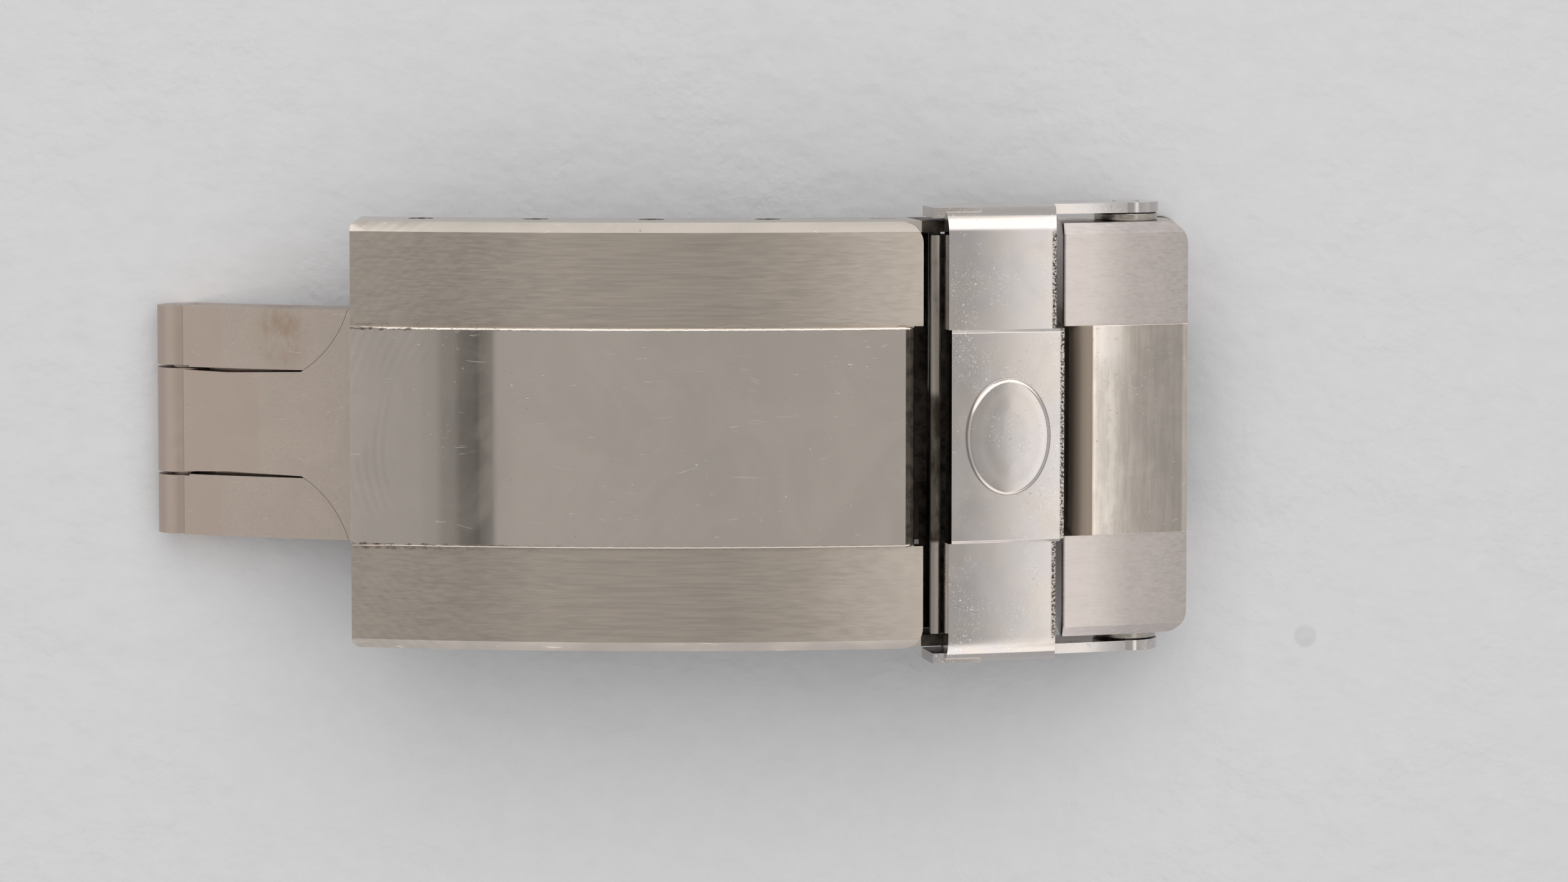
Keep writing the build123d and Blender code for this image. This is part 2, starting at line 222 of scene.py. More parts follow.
def sweep(left, right, inner, facet=0.8, start_right=False, first_at=None):
    """Turns the section about the arcs' axis, from past the left end to past the right end."""
    piece = bpy.context.object
    low = math.asin(left / inner) - 0.012
    high = math.asin(right / inner) + 0.012
    if first_at is not None and start_right:
        high = math.asin(first_at[0] / first_at[1]) + 0.001
    elif first_at is not None:
        low = math.asin(first_at[0] / first_at[1]) - 0.001
    steps = max(2, math.ceil((high - low) * 52 / facet))
    bpy.ops.object.mode_set(mode="OBJECT")
    piece.rotation_euler = (0, high if start_right else low, 0)
    piece.location = (0, 0, AXIS)
    bpy.ops.object.transform_apply(location=True, rotation=True, scale=False)
    edit(piece)
    turn = high - low if start_right else low - high
    bpy.ops.mesh.spin(steps=steps, angle=turn, center=(0, 0, AXIS), axis=(0, 1, 0))
    bpy.ops.mesh.select_all(action="SELECT")
    bpy.ops.mesh.remove_doubles(threshold=0.0005)
    bpy.ops.mesh.normals_make_consistent(inside=False)
    bpy.ops.object.mode_set(mode="OBJECT")
    return piece


def plan_block(left, right, low, high, rounds=(), moves=()):
    """Adds an upright block on an outline in plan.

    rounds lists x, y and radius of corners, and moves lists x, y and how far one goes in y.
    """
    clear_selection()
    bpy.ops.mesh.primitive_plane_add(size=1)
    block = bpy.context.object
    bpy.ops.object.mode_set(mode="EDIT")
    bpy.ops.transform.resize(value=(right - left, high - low, 1))
    bpy.ops.transform.translate(value=((left + right) / 2, (low + high) / 2, -5))
    for x, y, shift in moves:
        pick("VERT", lambda p: near(p.x, x) and near(p.y, y))
        bpy.ops.transform.translate(value=(0, shift, 0))
    for x, y, radius in rounds:
        round_points(lambda p: near(p.x, x) and near(p.y, y), radius, 10)
    bpy.ops.mesh.select_all(action="SELECT")
    bpy.ops.mesh.extrude_region_move(TRANSFORM_OT_translate={"value": (0, 0, 30)})
    bpy.ops.mesh.select_all(action="SELECT")
    bpy.ops.mesh.normals_make_consistent(inside=False)
    bpy.ops.object.mode_set(mode="OBJECT")
    return block


def rod(place, radius, low, high, vertices=48):
    """Adds a round bar across the clasp."""
    clear_selection()
    x, line = place
    bpy.ops.mesh.primitive_cylinder_add(
        vertices=vertices, radius=radius, depth=high - low, rotation=(math.pi / 2, 0, 0),
        location=(x, (low + high) / 2, height(x, line)))
    bpy.ops.object.transform_apply(location=True, rotation=True, scale=False)
    return bpy.context.object


def combine(piece, tool, operation):
    """Joins, cuts or crosses a piece with a second solid, which is used up."""
    make_active(piece)
    bpy.ops.object.modifier_add(type="BOOLEAN")
    change = piece.modifiers[-1]
    change.operation = operation
    change.solver = "EXACT"
    change.object = tool
    bpy.ops.object.modifier_apply(modifier=change.name)
    bpy.data.objects.remove(tool)
    edit(piece)
    bpy.ops.mesh.remove_doubles(threshold=0.0005)
    bpy.ops.mesh.normals_make_consistent(inside=False)
    bpy.ops.object.mode_set(mode="OBJECT")
    if not piece.data.polygons:
        raise RuntimeError("nothing is left of a piece")
    return piece


def bevel_edges(piece, test, offset, segments):
    """Bevels the edges of a finished solid that pass the test."""
    edit(piece)
    pick("EDGE", test)
    bpy.ops.mesh.bevel(offset=offset, affect="EDGES", segments=segments, profile=0.5)
    bpy.ops.mesh.select_all(action="SELECT")
    bpy.ops.mesh.remove_doubles(threshold=0.0005)
    bpy.ops.mesh.normals_make_consistent(inside=False)
    bpy.ops.object.mode_set(mode="OBJECT")


def soften(piece, width=0.05, segments=2, angle=28):
    """Rounds every sharp edge a little, and lets the broad faces keep their shading."""
    make_active(piece)
    bpy.ops.object.modifier_add(type="BEVEL")
    change = piece.modifiers[-1]
    change.width = width
    change.segments = segments
    change.limit_method = "ANGLE"
    change.angle_limit = math.radians(angle)
    change.use_clamp_overlap = True
    bpy.ops.object.modifier_apply(modifier=change.name)
    bpy.ops.object.shade_smooth()
    bpy.ops.object.modifier_add(type="WEIGHTED_NORMAL")
    bpy.ops.object.modifier_apply(modifier=piece.modifiers[-1].name)
    return piece


def join(first, *others):
    """Makes one object of several solids."""
    clear_selection()
    for piece in (first, *others):
        piece.select_set(True)
    bpy.context.view_layer.objects.active = first
    bpy.ops.object.join()
    return first


def settle(piece, name, node, body, slot, *finishes):
    """Gives a finished piece its name, real size, place in the frame and finishes."""
    make_active(piece)
    bpy.ops.transform.resize(value=(MM, MM, MM), center_override=(0, 0, 0))
    bpy.ops.object.transform_apply(location=True, rotation=True, scale=True)
    piece.name = name
    piece.data.name = name
    for finish in finishes:
        if finish not in [slot_.material for slot_ in piece.material_slots]:
            piece.data.materials.append(finish)
    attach(piece, body)
    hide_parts(node)
    return piece


def paint(piece, index, test):
    """Gives the faces whose middle and normal pass the test another finish."""
    for face in piece.data.polygons:
        if test(face.center, face.normal):
            face.material_index = index


# ---------------------------------------------------------------- the cover
def make_channel(settings):
    """The cover's roof with its two side walls."""
    half = settings.half_width / MM
    band = settings.band_half / MM
    cavity = half - 0.8
    start_section(-half, half, 51.5, 52.4)
    cut_across(-cavity, cavity, -band, band)
    pick("EDGE", lambda p: near(p.z, 51.5) and abs(p.y) > cavity - 0.01)
    bpy.ops.mesh.extrude_region_move(TRANSFORM_OT_translate={"value": (0, 0, -2.9)})
    round_points(lambda p: near(p.z, 52.4) and near(abs(p.y), half), settings.chamfer / MM)
    channel = sweep(COVER_LEFT, COVER_RIGHT, 48.6)
    corners = [(COVER_RIGHT, side * half, 0.83) for side in (1, -1)]
    corners += [(COVER_LEFT, side * half, 0.3) for side in (1, -1)]
    combine(channel, plan_block(COVER_LEFT, COVER_RIGHT, -half, half, corners), "INTERSECT")
    combine(channel, plan_block(BAND_RIGHT - INSET, COVER_RIGHT + 1, -band, band), "DIFFERENCE")
    for place in HOLES:
        combine(channel, rod(place, 0.505, -half - 1, half + 1), "DIFFERENCE")
    return soften(channel, settings.soft_edge / MM)


def make_band(settings):
    """The raised centre band, rounded down at its right end."""
    band = settings.band_half / MM
    start_section(-band, band, 51.6, 52.7)
    piece = sweep(COVER_LEFT, BAND_RIGHT, 51.6, 0.75, True, (BAND_RIGHT, 52.7))
    combine(piece, plan_block(BAND_LEFT, BAND_RIGHT, -band - 1, band + 1), "INTERSECT")
    bevel_edges(piece, lambda p: near(p.x, BAND_RIGHT) and near(radius_of(p), 52.7), 0.28, 6)
    bevel_edges(piece, lambda p: near(abs(p.y), band) and radius_of(p) > 51.8
                and not near(p.x, BAND_LEFT, 0.01), 0.14, 2)
    return soften(piece, settings.soft_edge / MM)


def make_ear(settings, side):
    """A thin ear of the side wall, which runs on under the lock."""
    half = settings.half_width / MM - 0.01
    low, high = sorted((side * (half - 0.44), side * half))
    start_section(low, high, 48.6, 51.45)
    ear = sweep(COVER_RIGHT - 1.4, EAR_RIGHT, 48.6)
    combine(ear, plan_block(COVER_RIGHT - 1.2, EAR_RIGHT, low - 1, high + 1), "INTERSECT")
    bevel_edges(ear, lambda p: near(p.x, EAR_RIGHT) and near(radius_of(p), 48.6, 0.1), 1.2, 8)
    combine(ear, rod(LEVER_PIN, 0.405, low - 1, high + 1), "DIFFERENCE")
    return soften(ear, settings.soft_edge / MM)


class CLASP_OT_cover(bpy.types.Operator):
    """Models the cover: channel, raised band and ears"""
    bl_idname = "clasp.cover"
    bl_label = "Cover"

    def execute(self, context):
        settings = context.scene.clasp_cover
        channel = make_channel(settings)
        band_half = settings.band_half / MM
        half = settings.half_width / MM
        pieces = [make_ear(settings, side) for side in (1, -1)]
        band = make_band(settings)
        cover = join(channel, band, *pieces)
        settle(cover, "cover_dressed", "cover_shell", "cover", "brushed_metal",
               finish("brushed"), finish("polished"), finish("side"), finish("grime_and_shade"))
        paint(cover, 1, lambda middle, normal: abs(middle.y) < band_half * MM)
        paint(cover, 2, lambda middle, normal: abs(middle.y) > (half - 0.41) * MM)
        # Painted shade: the undersides, the walls' inner faces, the band's right end and the ears get the
        # dark finish that stands for shade.
        paint(cover, 3, lambda middle, normal: abs(middle.y) < (half - 0.2) * MM
              and (normal.z < -0.5 or normal.y * middle.y < -0.5 * abs(middle.y)
                   or (normal.x > 0.75 and middle.x > (BAND_RIGHT - 0.1) * MM)))
        paint(cover, 3, lambda middle, normal: middle.x > (COVER_RIGHT + 0.02) * MM)
        return {"FINISHED"}


# ---------------------------------------------------------------- the safety lock
def make_lock_top(settings):
    """The lock's flanks with their rounded sides and side walls."""
    half = settings.half_width / MM
    inner_half = half - 0.4
    start_section(-half, half, 49.3, 53.1)
    round_points(lambda p: near(p.z, 53.1), settings.side_round / MM, 12)
    top = sweep(LOCK_LEFT, LOCK_RIGHT, 49.3)
    start_section(-inner_half, inner_half, 48.5, 52.3)
    combine(top, sweep(LOCK_LEFT - 1, LOCK_RIGHT + 1, 48.5), "DIFFERENCE")
    combine(top, plan_block(LOCK_LEFT, LOCK_RIGHT, -half - 1, half + 1), "INTERSECT")
    combine(top, plan_block(LOCK_LEFT - 1, LOCK_LEFT + LOCK_SHIFT + 0.02, -4.17, 4.17),
            "DIFFERENCE")
    return top


def add_lock_side(top, settings, side):
    """Adds a lip, an arm and the arm's round end to one side wall."""
    half = settings.half_width / MM
    low, high = sorted((side * (half - 0.4), side * half))
    start_section(low, high, 50.4, 52.6)
    lip = sweep(LOCK_LEFT - 0.77, LOCK_LEFT + 1.5, 50.4, 0.8, False, (LOCK_LEFT - 0.77, 50.4))
    combine(lip, plan_block(LOCK_LEFT - 0.77, LOCK_LEFT + 1.5, low - 1, high + 1), "INTERSECT")
    bevel_edges(lip, lambda p: near(p.x, LOCK_LEFT - 0.77) and near(radius_of(p), 50.4, 0.1),
                0.7, 8)
    combine(top, lip, "UNION")
    start_section(low, high, PIVOT[1] - 1.3, PIVOT[1] + 1.3)
    arm = sweep(LOCK_RIGHT - 1.5, PIVOT[0], PIVOT[1] - 1.3)
    combine(arm, plan_block(LOCK_RIGHT - 1.5, PIVOT[0], low - 1, high + 1), "INTERSECT")
    combine(arm, rod(PIVOT, 1.3, low, high, 64), "UNION")
    combine(top, arm, "UNION")
    combine(top, rod(PIVOT, 0.54, low - 1, high + 1), "DIFFERENCE")


def make_lock_band():
    """The lock's raised centre band."""
    start_section(-4.17, 4.17, 52.31, 53.25)
    round_points(lambda p: near(p.z, 53.25) and near(abs(p.y), 4.17), 0.12)
    band = sweep(LOCK_LEFT, LOCK_RIGHT + LOCK_SHIFT, 52.31)
    return combine(band, plan_block(LOCK_LEFT + LOCK_SHIFT, LOCK_RIGHT + LOCK_SHIFT, -5, 5),
                   "INTERSECT")


def make_boss(settings):
    """The plain oval for the thumb, modelled over the axis and turned to its place."""
    clear_selection()
    bpy.ops.mesh.primitive_cylinder_add(vertices=96, radius=0.5, depth=0.45)
    boss = bpy.context.object
    edit(boss)
    bpy.ops.transform.resize(value=(settings.boss_length / MM, settings.boss_width / MM, 1))
    bpy.ops.transform.translate(value=(0, 0, 53.285))
    pick("FACE", lambda p: p.z > 53.4)
    bpy.ops.mesh.bevel(offset=0.2, segments=6, profile=0.5)
    pick("FACE", lambda p: p.z > 53.5095)
    for step in range(3):
        bpy.ops.mesh.inset(thickness=0.32, depth=0.012)
    bpy.ops.object.mode_set(mode="OBJECT")
    middle = (LOCK_LEFT + LOCK_RIGHT) / 2 + LOCK_SHIFT
    boss.rotation_euler = (0, math.asin(middle / 53.25), 0)
    boss.location = (0, 0, AXIS)
    bpy.ops.object.transform_apply(location=True, rotation=True, scale=False)
    bpy.ops.object.shade_smooth_by_angle(angle=math.radians(35))
    return boss


class CLASP_OT_lock(bpy.types.Operator):
    """Models the safety lock and its thumb boss"""
    bl_idname = "clasp.lock"
    bl_label = "Safety lock"

    def execute(self, context):
        settings = context.scene.clasp_lock
        top = make_lock_top(settings)
        for side in (1, -1):
            add_lock_side(top, settings, side)
        soften(top, 0.06, 3)
        band = soften(make_lock_band(), 0.06, 3)
        lock = join(top, band)
        settle(lock, "lock_dressed", "safety_lock", "lock", "polished_metal", finish("lock"))
        boss = make_boss(settings)
        settle(boss, "boss_dressed", "thumb_boss", "lock", "polished_metal", finish("lock"))
        return {"FINISHED"}


# ---------------------------------------------------------------- the end link
def make_flank(side):
    """An outer piece of the end link."""
    low, high = sorted((side * LINK_CENTRE_HALF, side * LINK_HALF))
    start_section(low, high, 46.5, 51.6)
    round_points(lambda p: near(p.z, 51.6) and near(abs(p.y), LINK_HALF), 0.4)
    flank = sweep(LINK_LEFT, HALF_SPAN, 46.5, 0.8, False, (LINK_LEFT, 51.6))
    corner = [(HALF_SPAN, side * LINK_HALF, 0.9)]
    combine(flank, plan_block(LINK_LEFT, HALF_SPAN, low, high, corner), "INTERSECT")
    bevel_edges(flank, lambda p: near(p.x, LINK_LEFT) and radius_of(p) > 51.1, 0.16, 4)
    for place, radius in ((EYE, 0.455), (CENTRE_PIN, 0.355), (BRACELET_BORE, 0.6),
                          (PIVOT, 0.505)):
        combine(flank, rod(place, radius, low - 1, high + 1), "DIFFERENCE")
    return soften(flank, 0.1, 3)


def make_link_centre():
    """The polished middle of the end link."""
    start_section(-LINK_CENTRE_HALF, LINK_CENTRE_HALF, 49.15, 51.7)
    centre = sweep(LINK_CENTRE_LEFT, HALF_SPAN, 49.15, 0.8, False, (LINK_CENTRE_LEFT, 51.7))
    combine(centre, plan_block(LINK_CENTRE_LEFT, HALF_SPAN, -5, 5), "INTERSECT")
    bevel_edges(centre, lambda p: near(p.x, LINK_CENTRE_LEFT) and radius_of(p) > 51.5, 0.75, 12)
    combine(centre, rod(CENTRE_PIN, 0.355, -5, 5), "DIFFERENCE")
    return soften(centre, 0.08, 3)


class CLASP_OT_link(bpy.types.Operator):
    """Models the three pieces of the end link"""
    bl_idname = "clasp.link"
    bl_label = "End link"

    def execute(self, context):
        for side, word in ((1, "back"), (-1, "front")):
            settle(make_flank(side), "flank_dressed_" + word, "end_link_flank_" + word, "lower",
                   "brushed_metal", finish("brushed_link"))
        settle(make_link_centre(), "link_centre_dressed", "end_link_centre", "lower",
               "polished_metal", finish("polished_link"))
        return {"FINISHED"}


# ---------------------------------------------------------------- the blades
def make_flare(side, half, radius, left, taper=0.0):
    """The space beside the tongue: straight along it, then swung out on a wide arc."""
    low, high = sorted((side * half, side * 7))
    widest = -17.6
    straight = plan_block(left, widest, low, high, (), [(widest, side * half, -side * taper)])
    rest = plan_block(widest - INSET, FLARE_START, low, high, (),
                      [(widest - INSET, side * half, -side * taper),
                       (FLARE_START, side * half, -side * taper * 0.3)])
    combine(straight, rest, "UNION")
    clear_selection()
    bpy.ops.mesh.primitive_cylinder_add(vertices=160, radius=radius, depth=40,
                                        location=(FLARE_X, side * FLARE_Y, 10))
    bpy.ops.object.transform_apply(location=True, rotation=False, scale=False)
    swing = bpy.context.object
    low, high = sorted((side * (half - taper * 0.3), side * 8))
    combine(swing, plan_block(FLARE_START - 0.4, -11, low, high), "INTERSECT")
    return combine(straight, swing, "UNION")


def make_horn(side):
    """The lower blade's raised arm beside the tongue, with its hinge knuckle."""
    inner = TONGUE_HALF + 0.06
    low, high = sorted((side * inner, side * (BLADE_HALF - INSET)))
    start_section(low, high, 46.5, 48.1)
    horn = sweep(HINGE[0], -12.0, 46.5)
    combine(horn, plan_block(HINGE[0], -12.0, -5, 5), "INTERSECT")
    combine(horn, make_flare(side, TONGUE_HALF, 4.45, -21), "INTERSECT")
    return combine(horn, rod(KNUCKLE, 1.06, low + INSET, high - INSET, 96), "UNION")


def make_lower_blade():
    """The lower blade with horns, knuckles, hook and eye."""
    start_section(-BLADE_HALF, BLADE_HALF, 46.0, 47.0)
    blade = sweep(HINGE[0], EYE[0] + 1.05, 46.0)
    combine(blade, plan_block(HINGE[0], EYE[0] + 1.05, -5, 5), "INTERSECT")
    for side in (1, -1):
        low, high = sorted((side * NARROW_HALF, side * 6))
        combine(blade, plan_block(15.1, 19, low, high), "DIFFERENCE")
    start_section(INSET - NARROW_HALF, NARROW_HALF - INSET, 46.5, 48.05)
    eye = sweep(EYE[0] - 1.04, EYE[0] + 1.04, 46.5)
    combine(eye, plan_block(EYE[0] - 1.04, EYE[0] + 1.04, -5, 5), "INTERSECT")
    combine(eye, rod(EYE, 1.05, 2 * INSET - NARROW_HALF, NARROW_HALF - 2 * INSET), "UNION")
    combine(blade, eye, "UNION")
    for side in (1, -1):
        combine(blade, make_horn(side), "UNION")
    inner = TONGUE_HALF + KNUCKLE_GAP
    combine(blade, rod(HINGE, 1.27, -inner, inner), "DIFFERENCE")
    combine(blade, rod(HINGE, 0.505, -6, 6), "DIFFERENCE")
    combine(blade, rod(EYE, 0.455, -6, 6), "DIFFERENCE")
    for left, right, low, high, half in ((9.54, 9.82, 46.5, 49.7, 1.99),
                                         (9.53, 10.25, 49.5, 49.9, 2.0)):
        start_section(-half, half, low, high)
        hook = sweep(left, right, low, 0.3)
        combine(hook, plan_block(left, right, -3, 3), "INTERSECT")
        combine(blade, hook, "UNION")
    return soften(blade, 0.035)


def make_upper_blade():
    """The upper blade with the tongue, ramp, window and cross head."""
    start_section(-BLADE_HALF, BLADE_HALF, 47.1, 48.1)
    blade = sweep(HINGE[0], 5.2, 47.1)
    combine(blade, plan_block(HINGE[0], 5.2, -5, 5), "INTERSECT")
    for side in (1, -1):
        combine(blade, make_flare(side, TONGUE_HALF + 0.02, 4.465, -22, 0.13), "DIFFERENCE")
    combine(blade, make_ramp(), "UNION")
    start_section(-7.4, 7.4, 49.0, 50.0)
    head = sweep(6.69, COVER_HINGE[0], 49.0)
    combine(head, plan_block(6.69, COVER_HINGE[0], -8, 8), "INTERSECT")
    combine(head, rod(COVER_HINGE, 0.8, -7.4, 7.4), "UNION")
    combine(blade, head, "UNION")
    combine(blade, plan_block(4.4, 7.2, -2.4, 2.4, [(x, y, 0.4) for x in (4.4, 7.2)
                                                    for y in (-2.4, 2.4)]), "DIFFERENCE")
    tongue = TONGUE_HALF - INSET
    combine(blade, rod(KNUCKLE, 1.06, -tongue, tongue, 96), "UNION")
    combine(blade, rod(HINGE, 0.54, -6, 6), "DIFFERENCE")
    combine(blade, rod(COVER_HINGE, 0.54, -9, 9), "DIFFERENCE")
    return soften(blade, 0.035)


def make_ramp():
    """The sloping part between the blade and its cross head."""
    places = ((4.74, 47.1), (6.69, 49.0), (6.69, 50.0), (6.24, 50.0), (4.29, 48.1))
    clear_selection()
    bpy.ops.mesh.primitive_circle_add(vertices=5, radius=1, fill_type="NGON")
    ramp = bpy.context.object
    for corner, (x, line) in zip(ramp.data.vertices, places):
        corner.co = (x, -BLADE_HALF, height(x, line))
    edit(ramp)
    bpy.ops.mesh.extrude_region_move(TRANSFORM_OT_translate={"value": (0, 2 * BLADE_HALF, 0)})
    bpy.ops.mesh.select_all(action="SELECT")
    bpy.ops.mesh.normals_make_consistent(inside=False)
    bpy.ops.object.mode_set(mode="OBJECT")
    return ramp


class CLASP_OT_blades(bpy.types.Operator):
    """Models the two hinged blades"""
    bl_idname = "clasp.blades"
    bl_label = "Blades"

    def execute(self, context):
        lower = settle(make_lower_blade(), "lower_blade_dressed", "lower_blade", "lower",
                       "brushed_metal", finish("satin"), finish("grime_and_shade"))
        # Painted shade: the hook under the cover's end gets the dark finish that stands for shade.
        paint(lower, 1, lambda middle, normal: 0.0094 < middle.x < 0.0103
              and radius_of(middle / MM) > 47.1)
        settle(make_upper_blade(), "upper_blade_dressed", "upper_blade", "upper",
               "brushed_metal", finish("satin"))
        return {"FINISHED"}


# ---------------------------------------------------------------- the opening lever
def make_lever():
    """The lever's shelf, upright heel, cap, barrel and nose."""
    half = 7.8
    start_section(-half, half, 50.9, 51.5)
    lever = sweep(10.35, LEVER_RIGHT, 50.9)
    combine(lever, plan_block(10.35, LEVER_RIGHT, -9, 9), "INTERSECT")
    solids = ((-half, half, 49.4, 52.0, 10.37, 10.74), (-half, half, 50.9, 52.1, 10.95, 14.9),
              (-half, half, 49.42, 49.8, 9.95, 10.78), (-2, 2, 48.9, 51.0, 10.36, 10.79),
              (-2, 2, 48.9, 49.44, 9.93, 10.81))
    for low, high, inner, outer, left, right in solids:
        start_section(low, high, inner, outer)
        block = sweep(left, right, inner, 0.5)
        combine(block, plan_block(left, right, -9, 9), "INTERSECT")
        combine(lever, block, "UNION")
    combine(lever, rod(LEVER_PIN, 0.85, -half, half), "UNION")
    combine(lever, rod(LEVER_PIN, 0.44, -9, 9), "DIFFERENCE")
    return soften(lever, 0.12, 3)


class CLASP_OT_lever(bpy.types.Operator):
    """Models the opening lever under the lock"""
    bl_idname = "clasp.lever"
    bl_label = "Opening lever"

    def execute(self, context):
        lever = settle(make_lever(), "lever_dressed", "opening_lever", "lever",
                       "polished_metal", finish("heel"), finish("grime_and_shade"))
        # Painted shade: the heel's end faces, the faces just past it and the nose's top get the dark
        # finish, where the gap is in shade.
        paint(lever, 1, lambda middle, normal: abs(normal.x) > 0.75 and middle.x < 0.0108
              or 0.01082 < middle.x < 0.0112 or (middle.x < 0.0103 and normal.z > 0.5))
        return {"FINISHED"}


# ---------------------------------------------------------------- pins and the spring bar
def make_pin(place, radius, low, high):
    """A round pin with rounded ends."""
    pin = rod(place, radius, low, high)
    bevel_edges(pin, lambda p: near(p.y, low, 0.001) or near(p.y, high, 0.001),
                radius * 0.16, 3)
    make_active(pin)
    bpy.ops.object.shade_smooth_by_angle(angle=math.radians(35))
    return pin


def make_washer(side):
    """A washer between the link and the lock's arm."""
    low, high = sorted((side * 8.16, side * 8.46))
    washer = rod(PIVOT, 1.25, low, high, 64)
    combine(washer, rod(PIVOT, 0.505, low - 1, high + 1), "DIFFERENCE")
    return soften(washer, 0.05)


def make_tip(side):
    """A sprung tip with its collar."""
    low, high = sorted((side * 4.1, side * 8.25))
    tip = make_pin(BAR, 0.42, low, high)
    low, high = sorted((side * 7.12, side * 7.35))
    return join(tip, make_pin(BAR, 0.6, low, high))


class CLASP_OT_pins(bpy.types.Operator):
    """Models the pins, washers and spring bar tips"""
    bl_idname = "clasp.pins"
    bl_label = "Pins and tips"

    def execute(self, context):
        plain = (("blade_hinge_pin", HINGE, 0.5, 4.6, "lower"),
                 ("cover_hinge_pin", COVER_HINGE, 0.5, 8.35, "cover"),
                 ("lever_pin", LEVER_PIN, 0.4, 8.35, "cover"),
                 ("blade_end_pin", EYE, 0.45, 8.16, "lower"),
                 ("centre_link_pin", CENTRE_PIN, 0.35, 8.16, "lower"))
        for node, place, radius, half, body in plain:
            settle(make_pin(place, radius, -half, half), node + "_dressed", node, body,
                   "polished_metal", finish("spring"))
        for side, word in ((1, "back"), (-1, "front")):
            low, high = sorted((side * 6.16, side * 8.9))
            settle(make_pin(PIVOT, 0.5, low, high), "pivot_dressed_" + word,
                   "lock_pivot_" + word, "lower", "polished_metal", finish("lock"))
            settle(make_washer(side), "washer_dressed_" + word, "lock_washer_" + word, "lower",
                   "spring_steel", finish("spring"))
            settle(make_tip(side), "tip_dressed_" + word, "spring_bar_tip_" + word,
                   "bar_tip_" + word, "spring_steel", finish("spring"))
        for node in ("spring_bar_tube", "spring_bar_spring"):
            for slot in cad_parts[node].material_slots:
                slot.material = finish("spring")
        return {"FINISHED"}


# ---------------------------------------------------------------- finishes
def add(tree, kind, **values):
    node = tree.nodes.new(kind)
    for key, value in values.items():
        setattr(node, key, value)
    return node


def feed(tree, node, socket, source):
    """Gives a node's input a number or colour, or a wire from another node."""
    target = node.inputs[socket]
    if hasattr(source, "node"):
        tree.links.new(source, target)
    else:
        target.default_value = source


def sum_of(tree, operation, first, second=0.0, third=None, clamp=False):
    node = add(tree, "ShaderNodeMath", operation=operation, use_clamp=clamp)
    feed(tree, node, 0, first)
    feed(tree, node, 1, second)
    if third is not None:
        feed(tree, node, 2, third)
    return node.outputs[0]


def between(tree, value, low, high, start=0.0, end=1.0, smooth=True):
    """Maps a value from one span to another, and holds it there."""
    node = add(tree, "ShaderNodeMapRange", interpolation_type="SMOOTHSTEP" if smooth else "LINEAR")
    for socket, source in zip(("Value", "From Min", "From Max", "To Min", "To Max"),
                              (value, low, high, start, end)):
        feed(tree, node, socket, source)
    return node.outputs["Result"]


def blend_colours(tree, factor, first, second, kind="MIX"):
    node = add(tree, "ShaderNodeMix", data_type="RGBA", blend_type=kind)
    feed(tree, node, 0, factor)
    feed(tree, node, 6, first)
    feed(tree, node, 7, second)
    return node.outputs[2]


def profile(tree, value, stops, tint=(1, 1, 1)):
    """A colour whose level follows the value through the stops."""
    low, high = stops[0][0], stops[-1][0]
    ramp = add(tree, "ShaderNodeValToRGB")
    tree.links.new(between(tree, value, low, high, smooth=False), ramp.inputs[0])
    points = ramp.color_ramp.elements
    while len(points) < len(stops):
        points.new(0.5)
    for point, (place, level) in zip(points, stops):
        point.position = (place - low) / (high - low)
        point.color = tuple(level * share for share in tint) + (1,)
    return ramp.outputs[0]


def along(tree, stops, tint=(1, 1, 1)):
    """A colour whose level follows the place along the clasp, in millimetres."""
    split = add(tree, "ShaderNodeSeparateXYZ")
    tree.links.new(millimetres(tree), split.inputs[0])
    return profile(tree, split.outputs["X"], stops, tint)


def millimetres(tree):
    """The surface point in millimetres, on the piece's own coordinates."""
    place = add(tree, "ShaderNodeTexCoord")
    scale = add(tree, "ShaderNodeVectorMath", operation="SCALE")
    tree.links.new(place.outputs["Object"], scale.inputs[0])
    scale.inputs["Scale"].default_value = 1000.0
    return scale.outputs[0]


def noise(tree, place, scale, detail=3.0, roughness=0.5, distortion=0.0):
    node = add(tree, "ShaderNodeTexNoise")
    tree.links.new(place, node.inputs["Vector"])
    for socket, value in (("Scale", scale), ("Detail", detail), ("Roughness", roughness),
                          ("Distortion", distortion)):
        feed(tree, node, socket, value)
    return node.outputs["Fac"]


def stretched(tree, place, factors, turn=0.0):
    """The place, turned in plan and squeezed by three factors."""
    node = add(tree, "ShaderNodeMapping")
    tree.links.new(place, node.inputs["Vector"])
    node.inputs["Scale"].default_value = factors
    node.inputs["Rotation"].default_value = (0, 0, turn)
    return node.outputs[0]


def new_group(name, inputs, outputs):
    group = bpy.data.node_groups.new(name, "ShaderNodeTree")
    for label, value in inputs:
        socket = group.interface.new_socket(label, in_out="INPUT", socket_type="NodeSocketFloat")
        socket.default_value = value
    for label in outputs:
        group.interface.new_socket(label, in_out="OUTPUT", socket_type="NodeSocketFloat")
    return group, group.nodes.new("NodeGroupInput"), group.nodes.new("NodeGroupOutput")


def build_grain():
    """Fine brushing that runs along the clasp."""
    group, given, result = new_group("Brushing", (), ("Lines", "Bands"))
    place = millimetres(group)
    fine = noise(group, stretched(group, place, (0.4, 10, 10)), 1.0, 3, 0.6)
    broad = noise(group, stretched(group, place, (0.05, 3.0, 3.0)), 1.0, 3, 0.55)
    group.links.new(fine, result.inputs["Lines"])
    group.links.new(broad, result.inputs["Bands"])


